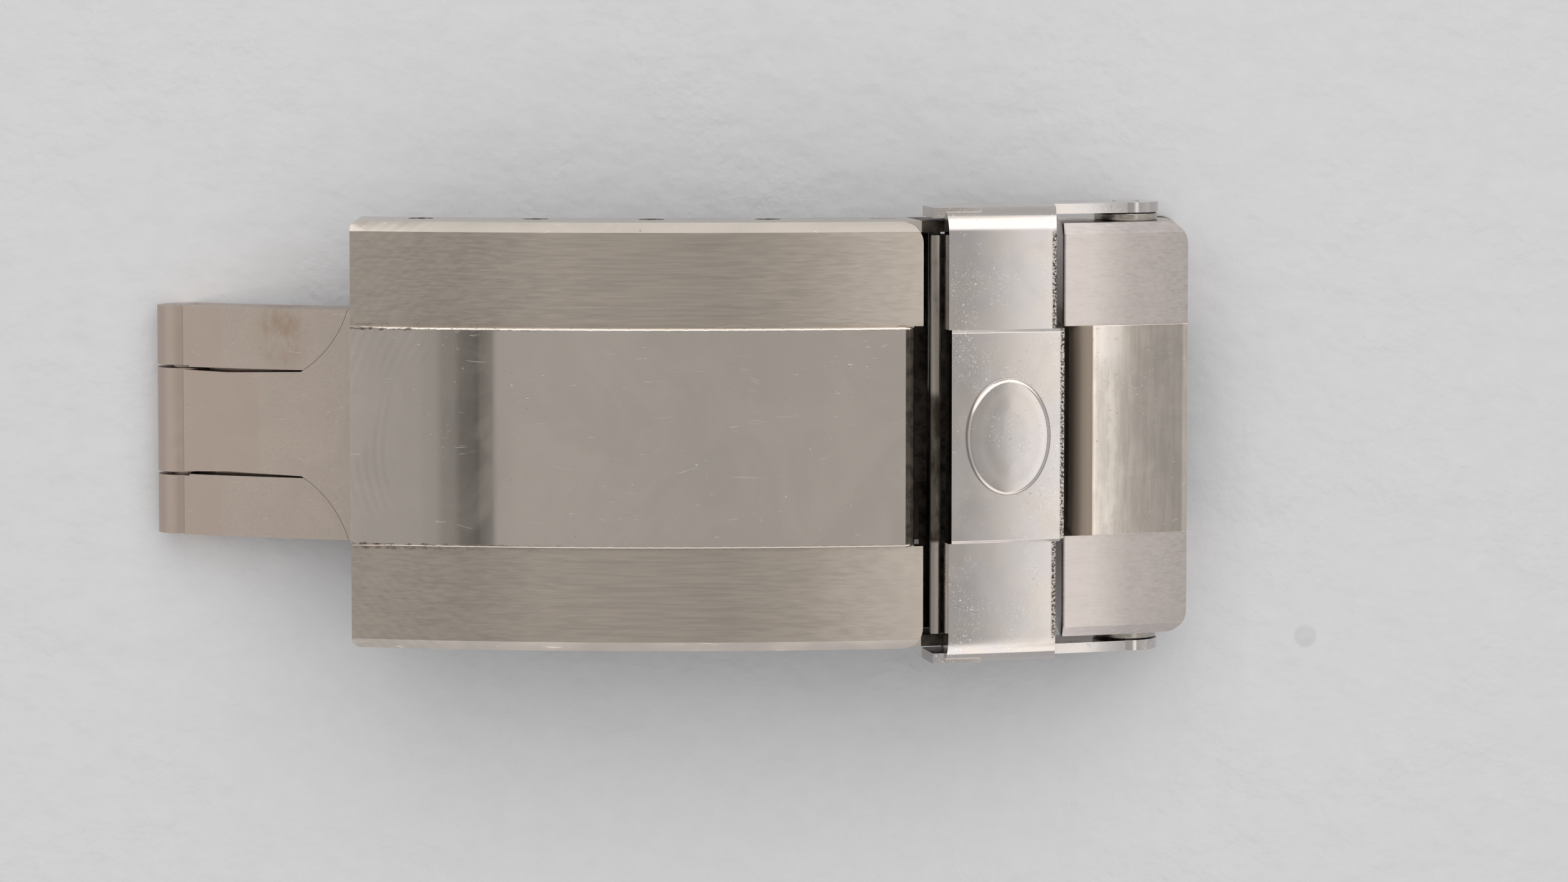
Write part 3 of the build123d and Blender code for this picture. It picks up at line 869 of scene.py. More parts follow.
def build_scratches():
    """Thin scratches in a few directions, with their own gaps."""
    group, given, result = new_group("Scratches", (("Amount", 0.5),), ("Mask",))
    place = millimetres(group)
    bend = add(group, "ShaderNodeTexNoise")
    group.links.new(place, bend.inputs["Vector"])
    bend.inputs["Scale"].default_value = 0.25
    swerve = add(group, "ShaderNodeVectorMath", operation="SCALE")
    group.links.new(bend.outputs["Color"], swerve.inputs[0])
    swerve.inputs["Scale"].default_value = 1.6
    bent = add(group, "ShaderNodeVectorMath", operation="ADD")
    group.links.new(place, bent.inputs[0])
    group.links.new(swerve.outputs[0], bent.inputs[1])
    total = 0.0
    for turn, fine in ((0.12, 7.0), (1.05, 9.0), (-0.7, 8.0), (1.6, 6.0)):
        lines = noise(group, stretched(group, bent.outputs[0], (0.22, fine, fine), turn), 1.0, 2)
        lines = between(group, lines, 0.70, 0.74)
        gaps = noise(group, stretched(group, place, (0.5, 0.5, 0.5), turn), 1.0, 1)
        lines = sum_of(group, "MULTIPLY", lines, between(group, gaps, 0.50, 0.60))
        total = sum_of(group, "MAXIMUM", total, lines)
    group.links.new(sum_of(group, "MULTIPLY", total, given.outputs["Amount"]),
                    result.inputs["Mask"])


def build_smears():
    """Wiping marks, the slight waves that polishing leaves, and swirls at the left end."""
    group, given, result = new_group("Smears", (("Size", 0.3),), ("Patches", "Waves", "Swirls"))
    place = millimetres(group)
    patches = add(group, "ShaderNodeTexNoise")
    group.links.new(place, patches.inputs["Vector"])
    group.links.new(given.outputs["Size"], patches.inputs["Scale"])
    for socket, value in (("Detail", 6.0), ("Roughness", 0.62), ("Distortion", 1.2)):
        patches.inputs[socket].default_value = value
    waves = noise(group, stretched(group, place, (0.35, 0.22, 0.22), 0.5), 1.0, 1.5, 0.4, 0.6)
    group.links.new(patches.outputs["Fac"], result.inputs["Patches"])
    group.links.new(waves, result.inputs["Waves"])
    swirls = add(group, "ShaderNodeTexWave", wave_type="RINGS", rings_direction="Z")
    group.links.new(stretched(group, place, (1.0, 1.3, 1.0), 0.4), swirls.inputs["Vector"])
    for socket, value in (("Scale", 0.85), ("Distortion", 9.0), ("Detail", 2.0),
                          ("Detail Scale", 0.16), ("Detail Roughness", 0.4)):
        swirls.inputs[socket].default_value = value
    split = add(group, "ShaderNodeSeparateXYZ")
    group.links.new(place, split.inputs[0])
    left = sum_of(group, "MULTIPLY", between(group, split.outputs["X"], -10, -6, 1.0, 0.0),
                  between(group, waves, 0.40, 0.55))
    left = sum_of(group, "MULTIPLY", left, between(group, swirls.outputs["Fac"], 0.2, 0.8))
    group.links.new(left, result.inputs["Swirls"])


def build_specks():
    """Scattered grains of dust or dirt."""
    group, given, result = new_group("Specks", (("Spacing", 2.0), ("Share", 0.25)), ("Mask",))
    place = millimetres(group)
    cells = add(group, "ShaderNodeTexVoronoi", feature="F1")
    group.links.new(place, cells.inputs["Vector"])
    group.links.new(given.outputs["Spacing"], cells.inputs["Scale"])
    split = add(group, "ShaderNodeSeparateColor")
    group.links.new(cells.outputs["Color"], split.inputs[0])
    size = sum_of(group, "MULTIPLY", split.outputs[1], 0.22)
    grain = between(group, sum_of(group, "SUBTRACT", size, cells.outputs["Distance"]), 0, 0.06)
    chosen = sum_of(group, "LESS_THAN", split.outputs[0], given.outputs["Share"])
    patch = between(group, noise(group, place, 0.45, 3), 0.45, 0.62)
    grain = sum_of(group, "MULTIPLY", sum_of(group, "MULTIPLY", grain, chosen), patch)
    group.links.new(grain, result.inputs["Mask"])


def build_line_dirt():
    """Dirt that collects along a line at one distance from the middle."""
    group, given, result = new_group(
        "Line dirt", (("Line", 4.3), ("Reach", 0.12), ("Left end", -12.3)), ("Mask",))
    place = millimetres(group)
    split = add(group, "ShaderNodeSeparateXYZ")
    group.links.new(place, split.inputs[0])
    away = sum_of(group, "ABSOLUTE", sum_of(
        group, "SUBTRACT", sum_of(group, "ABSOLUTE", split.outputs["Y"]), given.outputs["Line"]))
    clumps = noise(group, stretched(group, place, (1.6, 3.0, 3.0)), 1.8, 5, 0.7)
    reach = sum_of(group, "MULTIPLY", given.outputs["Reach"], between(group, clumps, 0.42, 0.8, 0.1, 2.2))
    close = between(group, sum_of(group, "DIVIDE", away, reach), 0.4, 1.0, 1.0, 0.0)
    amount = between(group, clumps, 0.40, 0.60)
    fade = between(group, sum_of(group, "SUBTRACT", split.outputs["X"], given.outputs["Left end"]),
                   0.0, 9.0, 1.0, 0.12)
    mask = sum_of(group, "MULTIPLY", sum_of(group, "MULTIPLY", close, amount), fade)
    group.links.new(mask, result.inputs["Mask"])


def use_group(tree, name, **values):
    node = add(tree, "ShaderNodeGroup")
    node.node_tree = bpy.data.node_groups[name]
    for label, value in values.items():
        node.inputs[label.replace("_", " ")].default_value = value
    return node


def new_metal(name, roughness, anisotropy=0.0):
    """A metal with its shader, ready for its colour, roughness and bumps."""
    material = bpy.data.materials.new("clasp_" + name)
    material.use_nodes = True
    tree = material.node_tree
    shader = tree.nodes["Principled BSDF"]
    shader.inputs["Metallic"].default_value = 1.0
    shader.inputs["Roughness"].default_value = roughness
    if anisotropy:
        shader.inputs["Anisotropic"].default_value = anisotropy
        tangent = add(tree, "ShaderNodeTangent", direction_type="RADIAL", axis="Y")
        tree.links.new(tangent.outputs[0], shader.inputs["Tangent"])
    return tree, shader


def raise_bumps(tree, shader, height_value, depth, strength=1.0):
    bump = add(tree, "ShaderNodeBump")
    bump.inputs["Distance"].default_value = depth * MM
    bump.inputs["Strength"].default_value = strength
    tree.links.new(height_value, bump.inputs["Height"])
    tree.links.new(bump.outputs[0], shader.inputs["Normal"])


def tones(colour, dark, light):
    return tuple(c * dark for c in colour) + (1,), tuple(c * light for c in colour) + (1,)


def build_brushed(name, colour, dirt, line, contrast, reach, rough_low, painted_light_levels):
    """Brushed metal with dirt along the step beside it, and painted light: its brightness changes along
    it, for the bands of light that it reflects.
    """
    tree, shader = new_metal(name, 0.3, 0.3)
    grain = use_group(tree, "Brushing")
    smears = use_group(tree, "Smears", Size=0.22)
    scratches = use_group(tree, "Scratches", Amount=0.5)
    low, high = tones(colour, 1 - contrast, 1 + contrast)
    lines = between(tree, grain.outputs["Lines"], 0.3, 0.7)
    shade = blend_colours(tree, lines, low, high)
    bands = between(tree, grain.outputs["Bands"], 0.35, 0.65, 0.0, 0.5)
    shade = blend_colours(tree, bands, shade, tones(colour, 1.08, 1)[0])
    patches = between(tree, smears.outputs["Patches"], 0.42, 0.7, 0.0, 0.3)
    shade = blend_colours(tree, patches, shade, tones(colour, 0.92, 1)[0])
    # Painted light: the colour is scaled along the clasp by the listed stops.
    shade = blend_colours(tree, 1.0, shade, along(tree, painted_light_levels), "MULTIPLY")
    shade = blend_colours(tree, smears.outputs["Swirls"], shade, (0.97, 0.97, 0.97, 1),
                          "MULTIPLY")
    mask = use_group(tree, "Line dirt", Line=line, Reach=reach).outputs["Mask"]
    specks = use_group(tree, "Specks", Spacing=1.3, Share=0.05).outputs["Mask"]
    mask = sum_of(tree, "MAXIMUM", sum_of(tree, "MULTIPLY", mask, 0.55),
                  sum_of(tree, "MULTIPLY", specks, 0.5))
    shade = blend_colours(tree, mask, shade, tuple(dirt) + (1,))
    tree.links.new(shade, shader.inputs["Base Color"])
    rough = between(tree, grain.outputs["Lines"], 0.3, 0.7, rough_low, rough_low + 0.08)
    rough = sum_of(tree, "ADD", rough, sum_of(tree, "MULTIPLY", mask, 0.4))
    tree.links.new(rough, shader.inputs["Roughness"])
    relief = sum_of(tree, "SUBTRACT", grain.outputs["Lines"], sum_of(
        tree, "MULTIPLY", scratches.outputs["Mask"], 1.5))
    raise_bumps(tree, shader, relief, 0.002)


def build_polished(name, colour, dirt, line, rough_low, waves, grit):
    """Polished metal with wiping marks, scratches, dust and a little dirt."""
    tree, shader = new_metal(name, rough_low)
    smears = use_group(tree, "Smears", Size=0.28)
    scratches = use_group(tree, "Scratches", Amount=0.8)
    specks = use_group(tree, "Specks", Spacing=3.2, Share=grit)
    mask = use_group(tree, "Line dirt", Line=line, Reach=0.07).outputs["Mask"]
    mask = sum_of(tree, "MAXIMUM", mask, sum_of(tree, "MULTIPLY", specks.outputs["Mask"], 0.5))
    patches = between(tree, smears.outputs["Patches"], 0.4, 0.65)
    low, high = tones(colour, 0.97, 1.02)
    shade = blend_colours(tree, patches, low, high)
    shade = blend_colours(tree, smears.outputs["Swirls"], shade, (0.95, 0.95, 0.95, 1),
                          "MULTIPLY")
    pale = sum_of(tree, "MULTIPLY", scratches.outputs["Mask"], 0.45)
    shade = blend_colours(tree, pale, shade, (0.86, 0.83, 0.80, 1))
    shade = blend_colours(tree, mask, shade, tuple(dirt) + (1,))
    tree.links.new(shade, shader.inputs["Base Color"])
    rough = between(tree, smears.outputs["Patches"], 0.4, 0.7, rough_low, rough_low + 0.05)
    rough = sum_of(tree, "ADD", rough, sum_of(tree, "MULTIPLY", scratches.outputs["Mask"], 0.15))
    rough = sum_of(tree, "ADD", rough, sum_of(tree, "MULTIPLY", mask, 0.45))
    tree.links.new(rough, shader.inputs["Roughness"])
    relief = sum_of(tree, "MULTIPLY", smears.outputs["Waves"], waves)
    relief = sum_of(tree, "SUBTRACT", relief, sum_of(
        tree, "MULTIPLY", scratches.outputs["Mask"], 0.05))
    relief = sum_of(tree, "ADD", relief, sum_of(tree, "MULTIPLY", specks.outputs["Mask"], 0.4))
    raise_bumps(tree, shader, relief, 0.03)


def build_dusty(colour, dirt):
    """The lock's polish under a layer of fine dust, with painted shade along its right edge."""
    tree, shader = new_metal("lock", 0.1)
    place = millimetres(tree)
    split = add(tree, "ShaderNodeSeparateXYZ")
    tree.links.new(place, split.inputs[0])
    smears = use_group(tree, "Smears", Size=0.5)
    scratches = use_group(tree, "Scratches", Amount=0.8)
    cloud = between(tree, noise(tree, place, 0.55, 4, 0.6), 0.44, 0.62)
    sparkle = noise(tree, place, 11.0, 2, 0.8)
    pale = sum_of(tree, "MULTIPLY", between(tree, sparkle, 0.60, 0.68), cloud)
    dark = sum_of(tree, "MULTIPLY", between(tree, sparkle, 0.36, 0.30), cloud)
    cool = tuple(share * level for share, level in zip(colour, (0.96, 0.985, 1.04))) + (1,)
    shade = blend_colours(tree, between(tree, noise(tree, place, 0.4, 3), 0.4, 0.6),
                          tones(colour, 1.0, 1)[0], cool)
    shade = blend_colours(tree, sum_of(tree, "MULTIPLY", pale, 0.8), shade, (0.9, 0.9, 0.92, 1))
    shade = blend_colours(tree, sum_of(tree, "MULTIPLY", dark, 0.35), shade, tuple(dirt) + (1,))
    # Painted shade: a dark line just before the right edge, broken by the sparkle and kept off the sides.
    band = between(tree, sum_of(tree, "ABSOLUTE", split.outputs["Y"]), 4.16, 4.18, LOCK_SHIFT, 0.0)
    edge = sum_of(tree, "SUBTRACT", split.outputs["X"], band)
    painted_edge_shade = sum_of(tree, "MULTIPLY", between(tree, edge, LOCK_RIGHT - 0.20, LOCK_RIGHT - 0.12),
                  between(tree, sparkle, 0.44, 0.56, 1.0, 0.3))
    top = between(tree, sum_of(tree, "ABSOLUTE", split.outputs["Y"]), 7.8, 8.1, 1.0, 0.0)
    painted_edge_shade = sum_of(tree, "MULTIPLY", painted_edge_shade, top)
    shade = blend_colours(tree, painted_edge_shade, shade, tones(dirt, 0.5, 1)[0])
    tree.links.new(shade, shader.inputs["Base Color"])
    rough = between(tree, smears.outputs["Patches"], 0.4, 0.7, 0.09, 0.17)
    rough = sum_of(tree, "ADD", rough, sum_of(tree, "MULTIPLY", pale, 0.25))
    rough = sum_of(tree, "ADD", rough, sum_of(tree, "MULTIPLY", scratches.outputs["Mask"], 0.15))
    tree.links.new(rough, shader.inputs["Roughness"])
    relief = sum_of(tree, "ADD", sum_of(tree, "MULTIPLY", smears.outputs["Waves"], 0.25),
                    sum_of(tree, "MULTIPLY", sum_of(tree, "MULTIPLY", sparkle, cloud), 0.025))
    relief = sum_of(tree, "SUBTRACT", relief, sum_of(
        tree, "MULTIPLY", scratches.outputs["Mask"], 0.05))
    raise_bumps(tree, shader, relief, 0.03)


def build_worn_and_painted(colour, dirt):
    """The link centre's polish: dented, streaked across, with painted light: a brown painted reflection
    on its nose, a wavy bright line, a pale patch at the back and light and dark bands along it.
    """
    tree, shader = new_metal("polished_link", 0.12)
    place = millimetres(tree)
    split = add(tree, "ShaderNodeSeparateXYZ")
    tree.links.new(place, split.inputs[0])
    smears = use_group(tree, "Smears", Size=0.5)
    scratches = use_group(tree, "Scratches", Amount=1.0)
    specks = use_group(tree, "Specks", Spacing=2.6, Share=0.15)
    # Painted light along the clasp: a bright line after the nose, a darker right half and a bright line
    # at the right edge.
    painted_light_levels = ((15.9, 1.0), (16.8, 1.0), (16.86, 1.2), (16.95, 1.0), (17.9, 1.0), (18.6, 0.86),
              (20.35, 0.84), (20.45, 1.15), (20.6, 1.1))
    shade = blend_colours(tree, between(tree, smears.outputs["Patches"], 0.4, 0.65),
                          *tones(colour, 0.89, 0.99))
    shade = blend_colours(tree, 1.0, shade, along(tree, painted_light_levels), "MULTIPLY")
    drift = sum_of(tree, "MULTIPLY", noise(tree, place, 0.9, 3), 0.9)
    # Painted highlights: a wavy bright line across the link, and a pale patch at the back.
    painted_ridge_highlight = sum_of(tree, "ABSOLUTE", sum_of(tree, "SUBTRACT", sum_of(
        tree, "ADD", split.outputs["X"], drift), 17.95))
    painted_ridge_highlight = between(tree, painted_ridge_highlight, 0.05, 0.22, 0.35, 0.0)
    back = between(tree, split.outputs["Y"], 1.6, 3.2)
    painted_blush_highlight = sum_of(tree, "MULTIPLY", back, between(tree, sum_of(
        tree, "ABSOLUTE", sum_of(tree, "SUBTRACT", split.outputs["X"], 17.35)), 0.35, 0.75, 0.5, 0))
    shade = blend_colours(tree, sum_of(tree, "MAXIMUM", painted_ridge_highlight, painted_blush_highlight), shade,
                          (0.78, 0.72, 0.68, 1))
    # Painted reflection: a brown, duller and less metallic nose, for the dark brown that it reflects.
    painted_brown_reflection = between(tree, split.outputs["X"], 16.74, 16.80, 1.0, 0.0)
    shade = blend_colours(tree, painted_brown_reflection, shade, (0.34, 0.27, 0.21, 1))
    marks = sum_of(tree, "MULTIPLY", specks.outputs["Mask"], 0.5)
    shade = blend_colours(tree, marks, shade, tuple(dirt) + (1,))
    tree.links.new(shade, shader.inputs["Base Color"])
    tree.links.new(between(tree, painted_brown_reflection, 0, 1, 1.0, 0.25), shader.inputs["Metallic"])
    streaks = noise(tree, stretched(tree, place, (6, 0.5, 6)), 1.0, 3, 0.6)
    rough = between(tree, streaks, 0.35, 0.65, 0.10, 0.18)
    rough = sum_of(tree, "ADD", rough, sum_of(tree, "MULTIPLY", scratches.outputs["Mask"], 0.2))
    rough = sum_of(tree, "ADD", rough, sum_of(tree, "MULTIPLY", painted_brown_reflection, 0.25))
    tree.links.new(rough, shader.inputs["Roughness"])
    relief = sum_of(tree, "ADD", sum_of(tree, "MULTIPLY", smears.outputs["Waves"], 0.45),
                    sum_of(tree, "MULTIPLY", streaks, 0.02))
    relief = sum_of(tree, "SUBTRACT", relief, sum_of(
        tree, "MULTIPLY", scratches.outputs["Mask"], 0.06))
    raise_bumps(tree, shader, relief, 0.03)


def build_satin(colour, dirt):
    """Blasted spring steel, with a pinker painted reflection where it curves into the knuckles, and one
    brown stain.
    """
    tree, shader = new_metal("satin", 0.42)
    place = millimetres(tree)
    split = add(tree, "ShaderNodeSeparateXYZ")
    tree.links.new(place, split.inputs[0])
    fine = noise(tree, place, 9.0, 4, 0.6)
    smears = use_group(tree, "Smears", Size=0.35)
    scratches = use_group(tree, "Scratches", Amount=0.6)
    low, high = tones(colour, 0.96, 1.04)
    shade = blend_colours(tree, between(tree, fine, 0.3, 0.7), low, high)
    # Painted reflection: a pinker tint left of where the blades curve into the knuckles.
    across = sum_of(tree, "ABSOLUTE", split.outputs["Y"])
    edge = between(tree, across, 2.08, 2.14, -16.26, -17.57)
    corner = between(tree, across, 1.6, 2.1, 0.0, 0.25)
    edge = sum_of(tree, "SUBTRACT", edge, corner)
    knuckle = between(tree, sum_of(tree, "SUBTRACT", edge, split.outputs["X"]), -0.06, 0.12)
    painted_pink_reflection = (colour[0] * 1.0, colour[1] * 0.955, colour[2] * 0.95, 1)
    shade = blend_colours(tree, knuckle, shade, painted_pink_reflection)
    gaps = noise(tree, stretched(tree, place, (1.6, 0.7, 1)), 1.0, 5, 0.65)
    away_x = sum_of(tree, "MULTIPLY", sum_of(tree, "SUBTRACT", split.outputs["X"], -15.4), 1.0)
    away_y = sum_of(tree, "MULTIPLY", sum_of(tree, "SUBTRACT", split.outputs["Y"], 3.7), 0.6)
    away = sum_of(tree, "SQRT", sum_of(tree, "ADD", sum_of(tree, "MULTIPLY", away_x, away_x),
                                       sum_of(tree, "MULTIPLY", away_y, away_y)))
    stain = sum_of(tree, "MULTIPLY", between(tree, away, 0.3, 1.35, 1.0, 0.0),
                   between(tree, gaps, 0.36, 0.62, 0.1, 0.8))
    brown = (colour[0] * 0.80, colour[1] * 0.70, colour[2] * 0.60, 1)
    shade = blend_colours(tree, stain, shade, brown)
    tree.links.new(shade, shader.inputs["Base Color"])
    rough = between(tree, smears.outputs["Patches"], 0.4, 0.7, 0.38, 0.46)
    tree.links.new(sum_of(tree, "SUBTRACT", rough, sum_of(
        tree, "MULTIPLY", scratches.outputs["Mask"], 0.08)), shader.inputs["Roughness"])
    relief = sum_of(tree, "SUBTRACT", sum_of(tree, "MULTIPLY", fine, 0.3), sum_of(
        tree, "MULTIPLY", scratches.outputs["Mask"], 0.8))
    raise_bumps(tree, shader, relief, 0.006)


def build_grime_and_painted_shade():
    """Old oil and dust, and painted shade: a dark finish for the hidden faces and the gaps, where the
    shade falls.
    """
    tree, shader = new_metal("grime_and_shade", 0.55)
    shader.inputs["Metallic"].default_value = 0.6
    place = millimetres(tree)
    clumps = noise(tree, place, 2.5, 5, 0.65)
    # The dark colour is painted shade, mottled with clumps like old oil.
    shade = blend_colours(tree, between(tree, clumps, 0.35, 0.65), (0.035, 0.028, 0.022, 1),
                          (0.10, 0.082, 0.066, 1))
    tree.links.new(shade, shader.inputs["Base Color"])
    tree.links.new(between(tree, clumps, 0.35, 0.65, 0.35, 0.65), shader.inputs["Roughness"])
    raise_bumps(tree, shader, clumps, 0.01)


def build_heel(colour, dirt):
    """The lever's metal, kept dark as painted shade of the gap: lighter beside the flanks, darker in the
    middle rows and past the heel's top edge, with clumps of dirt.
    """
    tree, shader = new_metal("heel", 0.25)
    place = millimetres(tree)
    split = add(tree, "ShaderNodeSeparateXYZ")
    tree.links.new(place, split.inputs[0])
    clumps = noise(tree, stretched(tree, place, (1.5, 0.6, 1.5)), 1.0, 4, 0.65)
    # Painted shade in the middle rows, where the heel sits in the shade of the gap.
    middle = sum_of(tree, "MULTIPLY", between(tree, split.outputs["Y"], 1.4, 1.8, 1.0, 0.0),
                    between(tree, split.outputs["Y"], -4.3, -4.1))
    middle = sum_of(tree, "MULTIPLY", middle, between(tree, clumps, 0.3, 0.6, 0.7, 0.95))
    # Painted shade past the heel's top edge, for the lock's dark underside that it reflects.
    painted_shade_behind = sum_of(tree, "MULTIPLY", between(tree, split.outputs["X"], 10.66, 10.70),
                    between(tree, clumps, 0.3, 0.6, 0.8, 1.0))
    mask = sum_of(tree, "MAXIMUM", middle, painted_shade_behind)
    mask = sum_of(tree, "MAXIMUM", mask, between(tree, clumps, 0.5, 0.7, 0.0, 0.35))
    # The polish darkened to 0.56 is painted shade. Where the mask is high, the dark dirt colour gives
    # painted shade and dirt.
    shade = blend_colours(tree, mask, tones(colour, 0.56, 1)[0], tones(dirt, 0.3, 1)[0])
    tree.links.new(shade, shader.inputs["Base Color"])
    tree.links.new(between(tree, mask, 0.0, 1.0, 0.35, 0.45), shader.inputs["Roughness"])
    raise_bumps(tree, shader, clumps, 0.01)


def build_spring():
    """Darker turned steel of pins and tips."""
    tree, shader = new_metal("spring", 0.3)
    place = millimetres(tree)
    rings = noise(tree, stretched(tree, place, (3, 16, 3)), 1.0, 3)
    shade = blend_colours(tree, between(tree, rings, 0.3, 0.7), (0.36, 0.33, 0.30, 1),
                          (0.46, 0.43, 0.39, 1))
    tree.links.new(shade, shader.inputs["Base Color"])
    tree.links.new(between(tree, rings, 0.3, 0.7, 0.22, 0.36), shader.inputs["Roughness"])
    raise_bumps(tree, shader, rings, 0.004)


def finish(name):
    return bpy.data.materials["clasp_" + name]


class CLASP_OT_finishes(bpy.types.Operator):
    """Builds the metals and the marks on them"""
    bl_idname = "clasp.finishes"
    bl_label = "Finishes"

    def execute(self, context):
        colours = context.scene.clasp_finish
        for build in (build_grain, build_scratches, build_smears, build_specks, build_line_dirt):
            build()
        # The tables of stops are painted light along the cover's flanks and along the link's flanks.
        build_brushed("brushed", colours.brushed, colours.dirt, 4.38, 0.05, 0.07, 0.34,
                      ((-12.3, 0.93), (-10.5, 0.91), (-7.9, 0.87), (-6.0, 0.95), (-4.5, 1.02),
                       (-1.0, 0.94), (2.5, 0.87), (5.5, 0.97), (7.3, 1.12), (10.1, 1.25)))
        pale = [share * level for share, level in zip(colours.brushed, (1.0, 1.03, 1.12))]
        build_brushed("brushed_link", pale, colours.dirt, 4.2, 0.09, 0.04, 0.28,
                      ((15.5, 1.41), (16.8, 1.36), (18.2, 1.05), (20.6, 0.97)))
        build_polished("polished", colours.polished, colours.dirt, 4.2, 0.06, 0.05, 0.10)
        build_dusty(colours.lock, colours.dirt)
        build_polished("side", colours.polished, colours.dirt, 4.2, 0.20, 0.05, 0.20)
        build_grime_and_painted_shade()
        build_heel(colours.polished, colours.dirt)
        build_worn_and_painted(colours.polished, colours.dirt)
        build_satin(colours.satin, colours.dirt)
        build_spring()
        return {"FINISHED"}


# ---------------------------------------------------------------- the stage
def build_sheet(colour):
    """The white sheet under the clasp, with its faint weave, waves and a few specks."""
    bpy.ops.mesh.primitive_grid_add(x_subdivisions=8, y_subdivisions=8, size=4)
    sheet = bpy.context.object
    sheet.name = "sheet"
    material = bpy.data.materials.new("clasp_sheet")
    material.use_nodes = True
    tree = material.node_tree
    shader = tree.nodes["Principled BSDF"]
    shader.inputs["Roughness"].default_value = 0.85
    shader.inputs["Specular IOR Level"].default_value = 0.2
    place = millimetres(tree)
    pulp = noise(tree, place, 0.9, 4, 0.6)
    waves = noise(tree, stretched(tree, place, (0.3, 0.42, 0.42), 0.5), 1.0, 3, 0.5)
    low, high = tones(colour, 0.985, 1.01)
    shade = blend_colours(tree, between(tree, pulp, 0.3, 0.7), low, high)
    specks = use_group(tree, "Specks", Spacing=0.35, Share=0.05).outputs["Mask"]
    shade = blend_colours(tree, sum_of(tree, "MULTIPLY", specks, 0.35), shade,
                          tones(colour, 0.6, 1)[0])
    tree.links.new(shade, shader.inputs["Base Color"])
    dimples = noise(tree, place, 2.6, 2, 0.5)
    embossed = between(tree, noise(tree, place, 0.12, 2), 0.45, 0.6, 0.15, 1.0)
    relief = sum_of(tree, "ADD", sum_of(tree, "MULTIPLY", pulp, 0.25), waves)
    relief = sum_of(tree, "ADD", relief, sum_of(
        tree, "MULTIPLY", sum_of(tree, "MULTIPLY", dimples, embossed), 0.22))
    raise_bumps(tree, shader, relief, 0.24)
    sheet.data.materials.append(material)


def build_surroundings():
    """The room: a soft light ceiling whose bands show in the polished metal."""
    world = bpy.data.worlds.new("clasp_room")
    bpy.context.scene.world = world
    world.use_nodes = True
    tree = world.node_tree
    tree.nodes.clear()
    place = add(tree, "ShaderNodeTexCoord")
    split = add(tree, "ShaderNodeSeparateXYZ")
    tree.links.new(place.outputs["Generated"], split.inputs[0])
    lean = sum_of(tree, "ARCTAN2", split.outputs["X"], split.outputs["Z"])
    turn = sum_of(tree, "MULTIPLY", lean, 180 / math.pi)
    bands = ((-90, 0.75), (-40, 0.72), (-30, 0.55), (-27, 0.54), (-23.6, 0.52), (-21.5, 0.36),
             (-20, 0.23), (-18.4, 0.15), (-17.8, 0.14), (-17.4, 0.58), (-8, 0.57), (4, 0.54),
             (12, 0.57), (24, 0.57), (27, 0.58), (30, 0.82), (33, 1.2), (38, 1.5), (41.5, 1.5),
             (43.5, 0.75), (48, 0.60), (60, 0.7), (90, 0.8))
    room = profile(tree, turn, bands, (1, 0.985, 0.965))
    window = between(tree, split.outputs["Y"], 0.24, 0.45)
    room = blend_colours(tree, sum_of(tree, "MULTIPLY", window, 0.85), room,
                         (2.2, 2.19, 2.18, 1))
    wall = between(tree, split.outputs["Y"], 0.88, 0.98)
    room = blend_colours(tree, wall, room, (1.05, 1.03, 1.01, 1))
    near_wall = between(tree, split.outputs["Y"], -0.5, -0.9)
    room = blend_colours(tree, near_wall, room, (1.65, 1.61, 1.58, 1))
    path = add(tree, "ShaderNodeLightPath")
    seen = sum_of(tree, "MAXIMUM", path.outputs["Is Glossy Ray"],
                  path.outputs["Is Transmission Ray"])
    above = between(tree, split.outputs["Z"], 0.0, 1.0, smooth=False)
    ceiling = blend_colours(tree, above, (0.12, 0.12, 0.121, 1), (0.73, 0.73, 0.735, 1))
    light = blend_colours(tree, seen, ceiling, room)
    light = blend_colours(tree, path.outputs["Is Camera Ray"], light, (0.86, 0.86, 0.865, 1))
    back = add(tree, "ShaderNodeBackground")
    tree.links.new(light, back.inputs["Color"])
    out = add(tree, "ShaderNodeOutputWorld")
    tree.links.new(back.outputs[0], out.inputs["Surface"])


def add_lamp(place, size, power, aim):
    """A square soft lamp turned towards a point."""
    bpy.ops.object.light_add(type="AREA", location=place)
    lamp = bpy.context.object
    lamp.data.size = size
    lamp.data.energy = power
    lamp.visible_glossy = False
    lean = [goal - start for goal, start in zip(aim, place)]
    flat = math.hypot(lean[0], lean[1])
    lamp.rotation_euler = (math.atan2(flat, -lean[2]), 0, math.atan2(-lean[0], lean[1]))
    return lamp


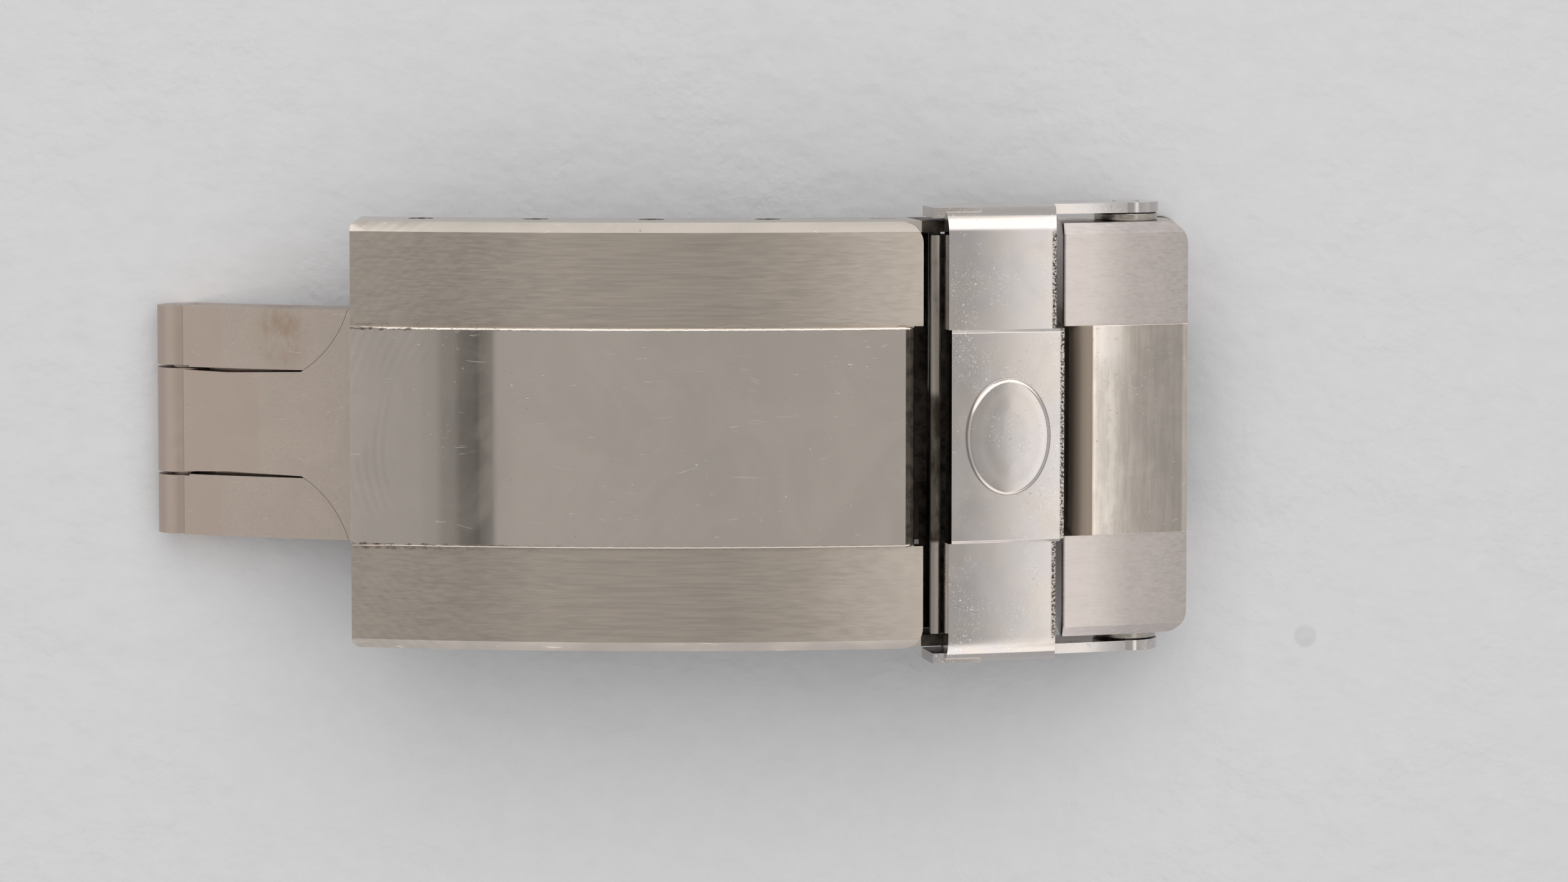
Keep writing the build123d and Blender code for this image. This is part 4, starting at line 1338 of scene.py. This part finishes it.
class CLASP_OT_stage(bpy.types.Operator):
    """Sets up the sheet, the lamp, the room and the camera"""
    bl_idname = "clasp.stage"
    bl_label = "Stage"

    def execute(self, context):
        settings = context.scene.clasp_stage
        clear_selection()
        build_sheet(settings.sheet)
        build_surroundings()
        add_lamp((0.06, 0.26, 0.55), 0.7, 1.6, (0, 0, 0))
        lean = settings.tilt
        place = (0.00464, -0.0001 + settings.distance * math.sin(lean),
                 0.0107 + settings.distance * math.cos(lean))
        bpy.ops.object.camera_add(location=place, rotation=(-lean, 0, 0))
        camera = context.object
        camera.data.sensor_width = 36
        camera.data.lens = 139.2
        camera.data.clip_start = 0.005
        context.scene.camera = camera
        context.scene.view_settings.view_transform = "Standard"
        return {"FINISHED"}


class CLASP_PT_panel(bpy.types.Panel):
    """Lists the clasp's operators and settings"""
    bl_idname = "CLASP_PT_panel"
    bl_label = "Deployant clasp"
    bl_space_type = "VIEW_3D"
    bl_region_type = "UI"
    bl_category = "Clasp"

    def draw(self, context):
        scene = context.scene
        for settings in (scene.clasp_cover, scene.clasp_lock, scene.clasp_finish,
                         scene.clasp_stage):
            for name in settings.__annotations__:
                self.layout.prop(settings, name)
        for step in STEPS:
            self.layout.operator("clasp." + step)


STEPS = ("finishes", "cover", "lock", "link", "blades", "lever", "pins", "stage")
CLASSES = (CoverSettings, LockSettings, FinishSettings, StageSettings, CLASP_OT_finishes,
           CLASP_OT_cover, CLASP_OT_lock, CLASP_OT_link, CLASP_OT_blades, CLASP_OT_lever,
           CLASP_OT_pins, CLASP_OT_stage, CLASP_PT_panel)
GROUPS = (("clasp_cover", CoverSettings), ("clasp_lock", LockSettings),
          ("clasp_finish", FinishSettings), ("clasp_stage", StageSettings))


def register():
    for kind in CLASSES:
        bpy.utils.register_class(kind)
    for name, kind in GROUPS:
        setattr(bpy.types.Scene, name, bpy.props.PointerProperty(type=kind))


def unregister():
    for name, kind in GROUPS:
        delattr(bpy.types.Scene, name)
    for kind in reversed(CLASSES):
        bpy.utils.unregister_class(kind)


def main():
    """Runs every step in order."""
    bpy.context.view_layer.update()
    register()
    for step in STEPS:
        getattr(bpy.ops.clasp, step)()


if __name__ == "__main__":
    main()
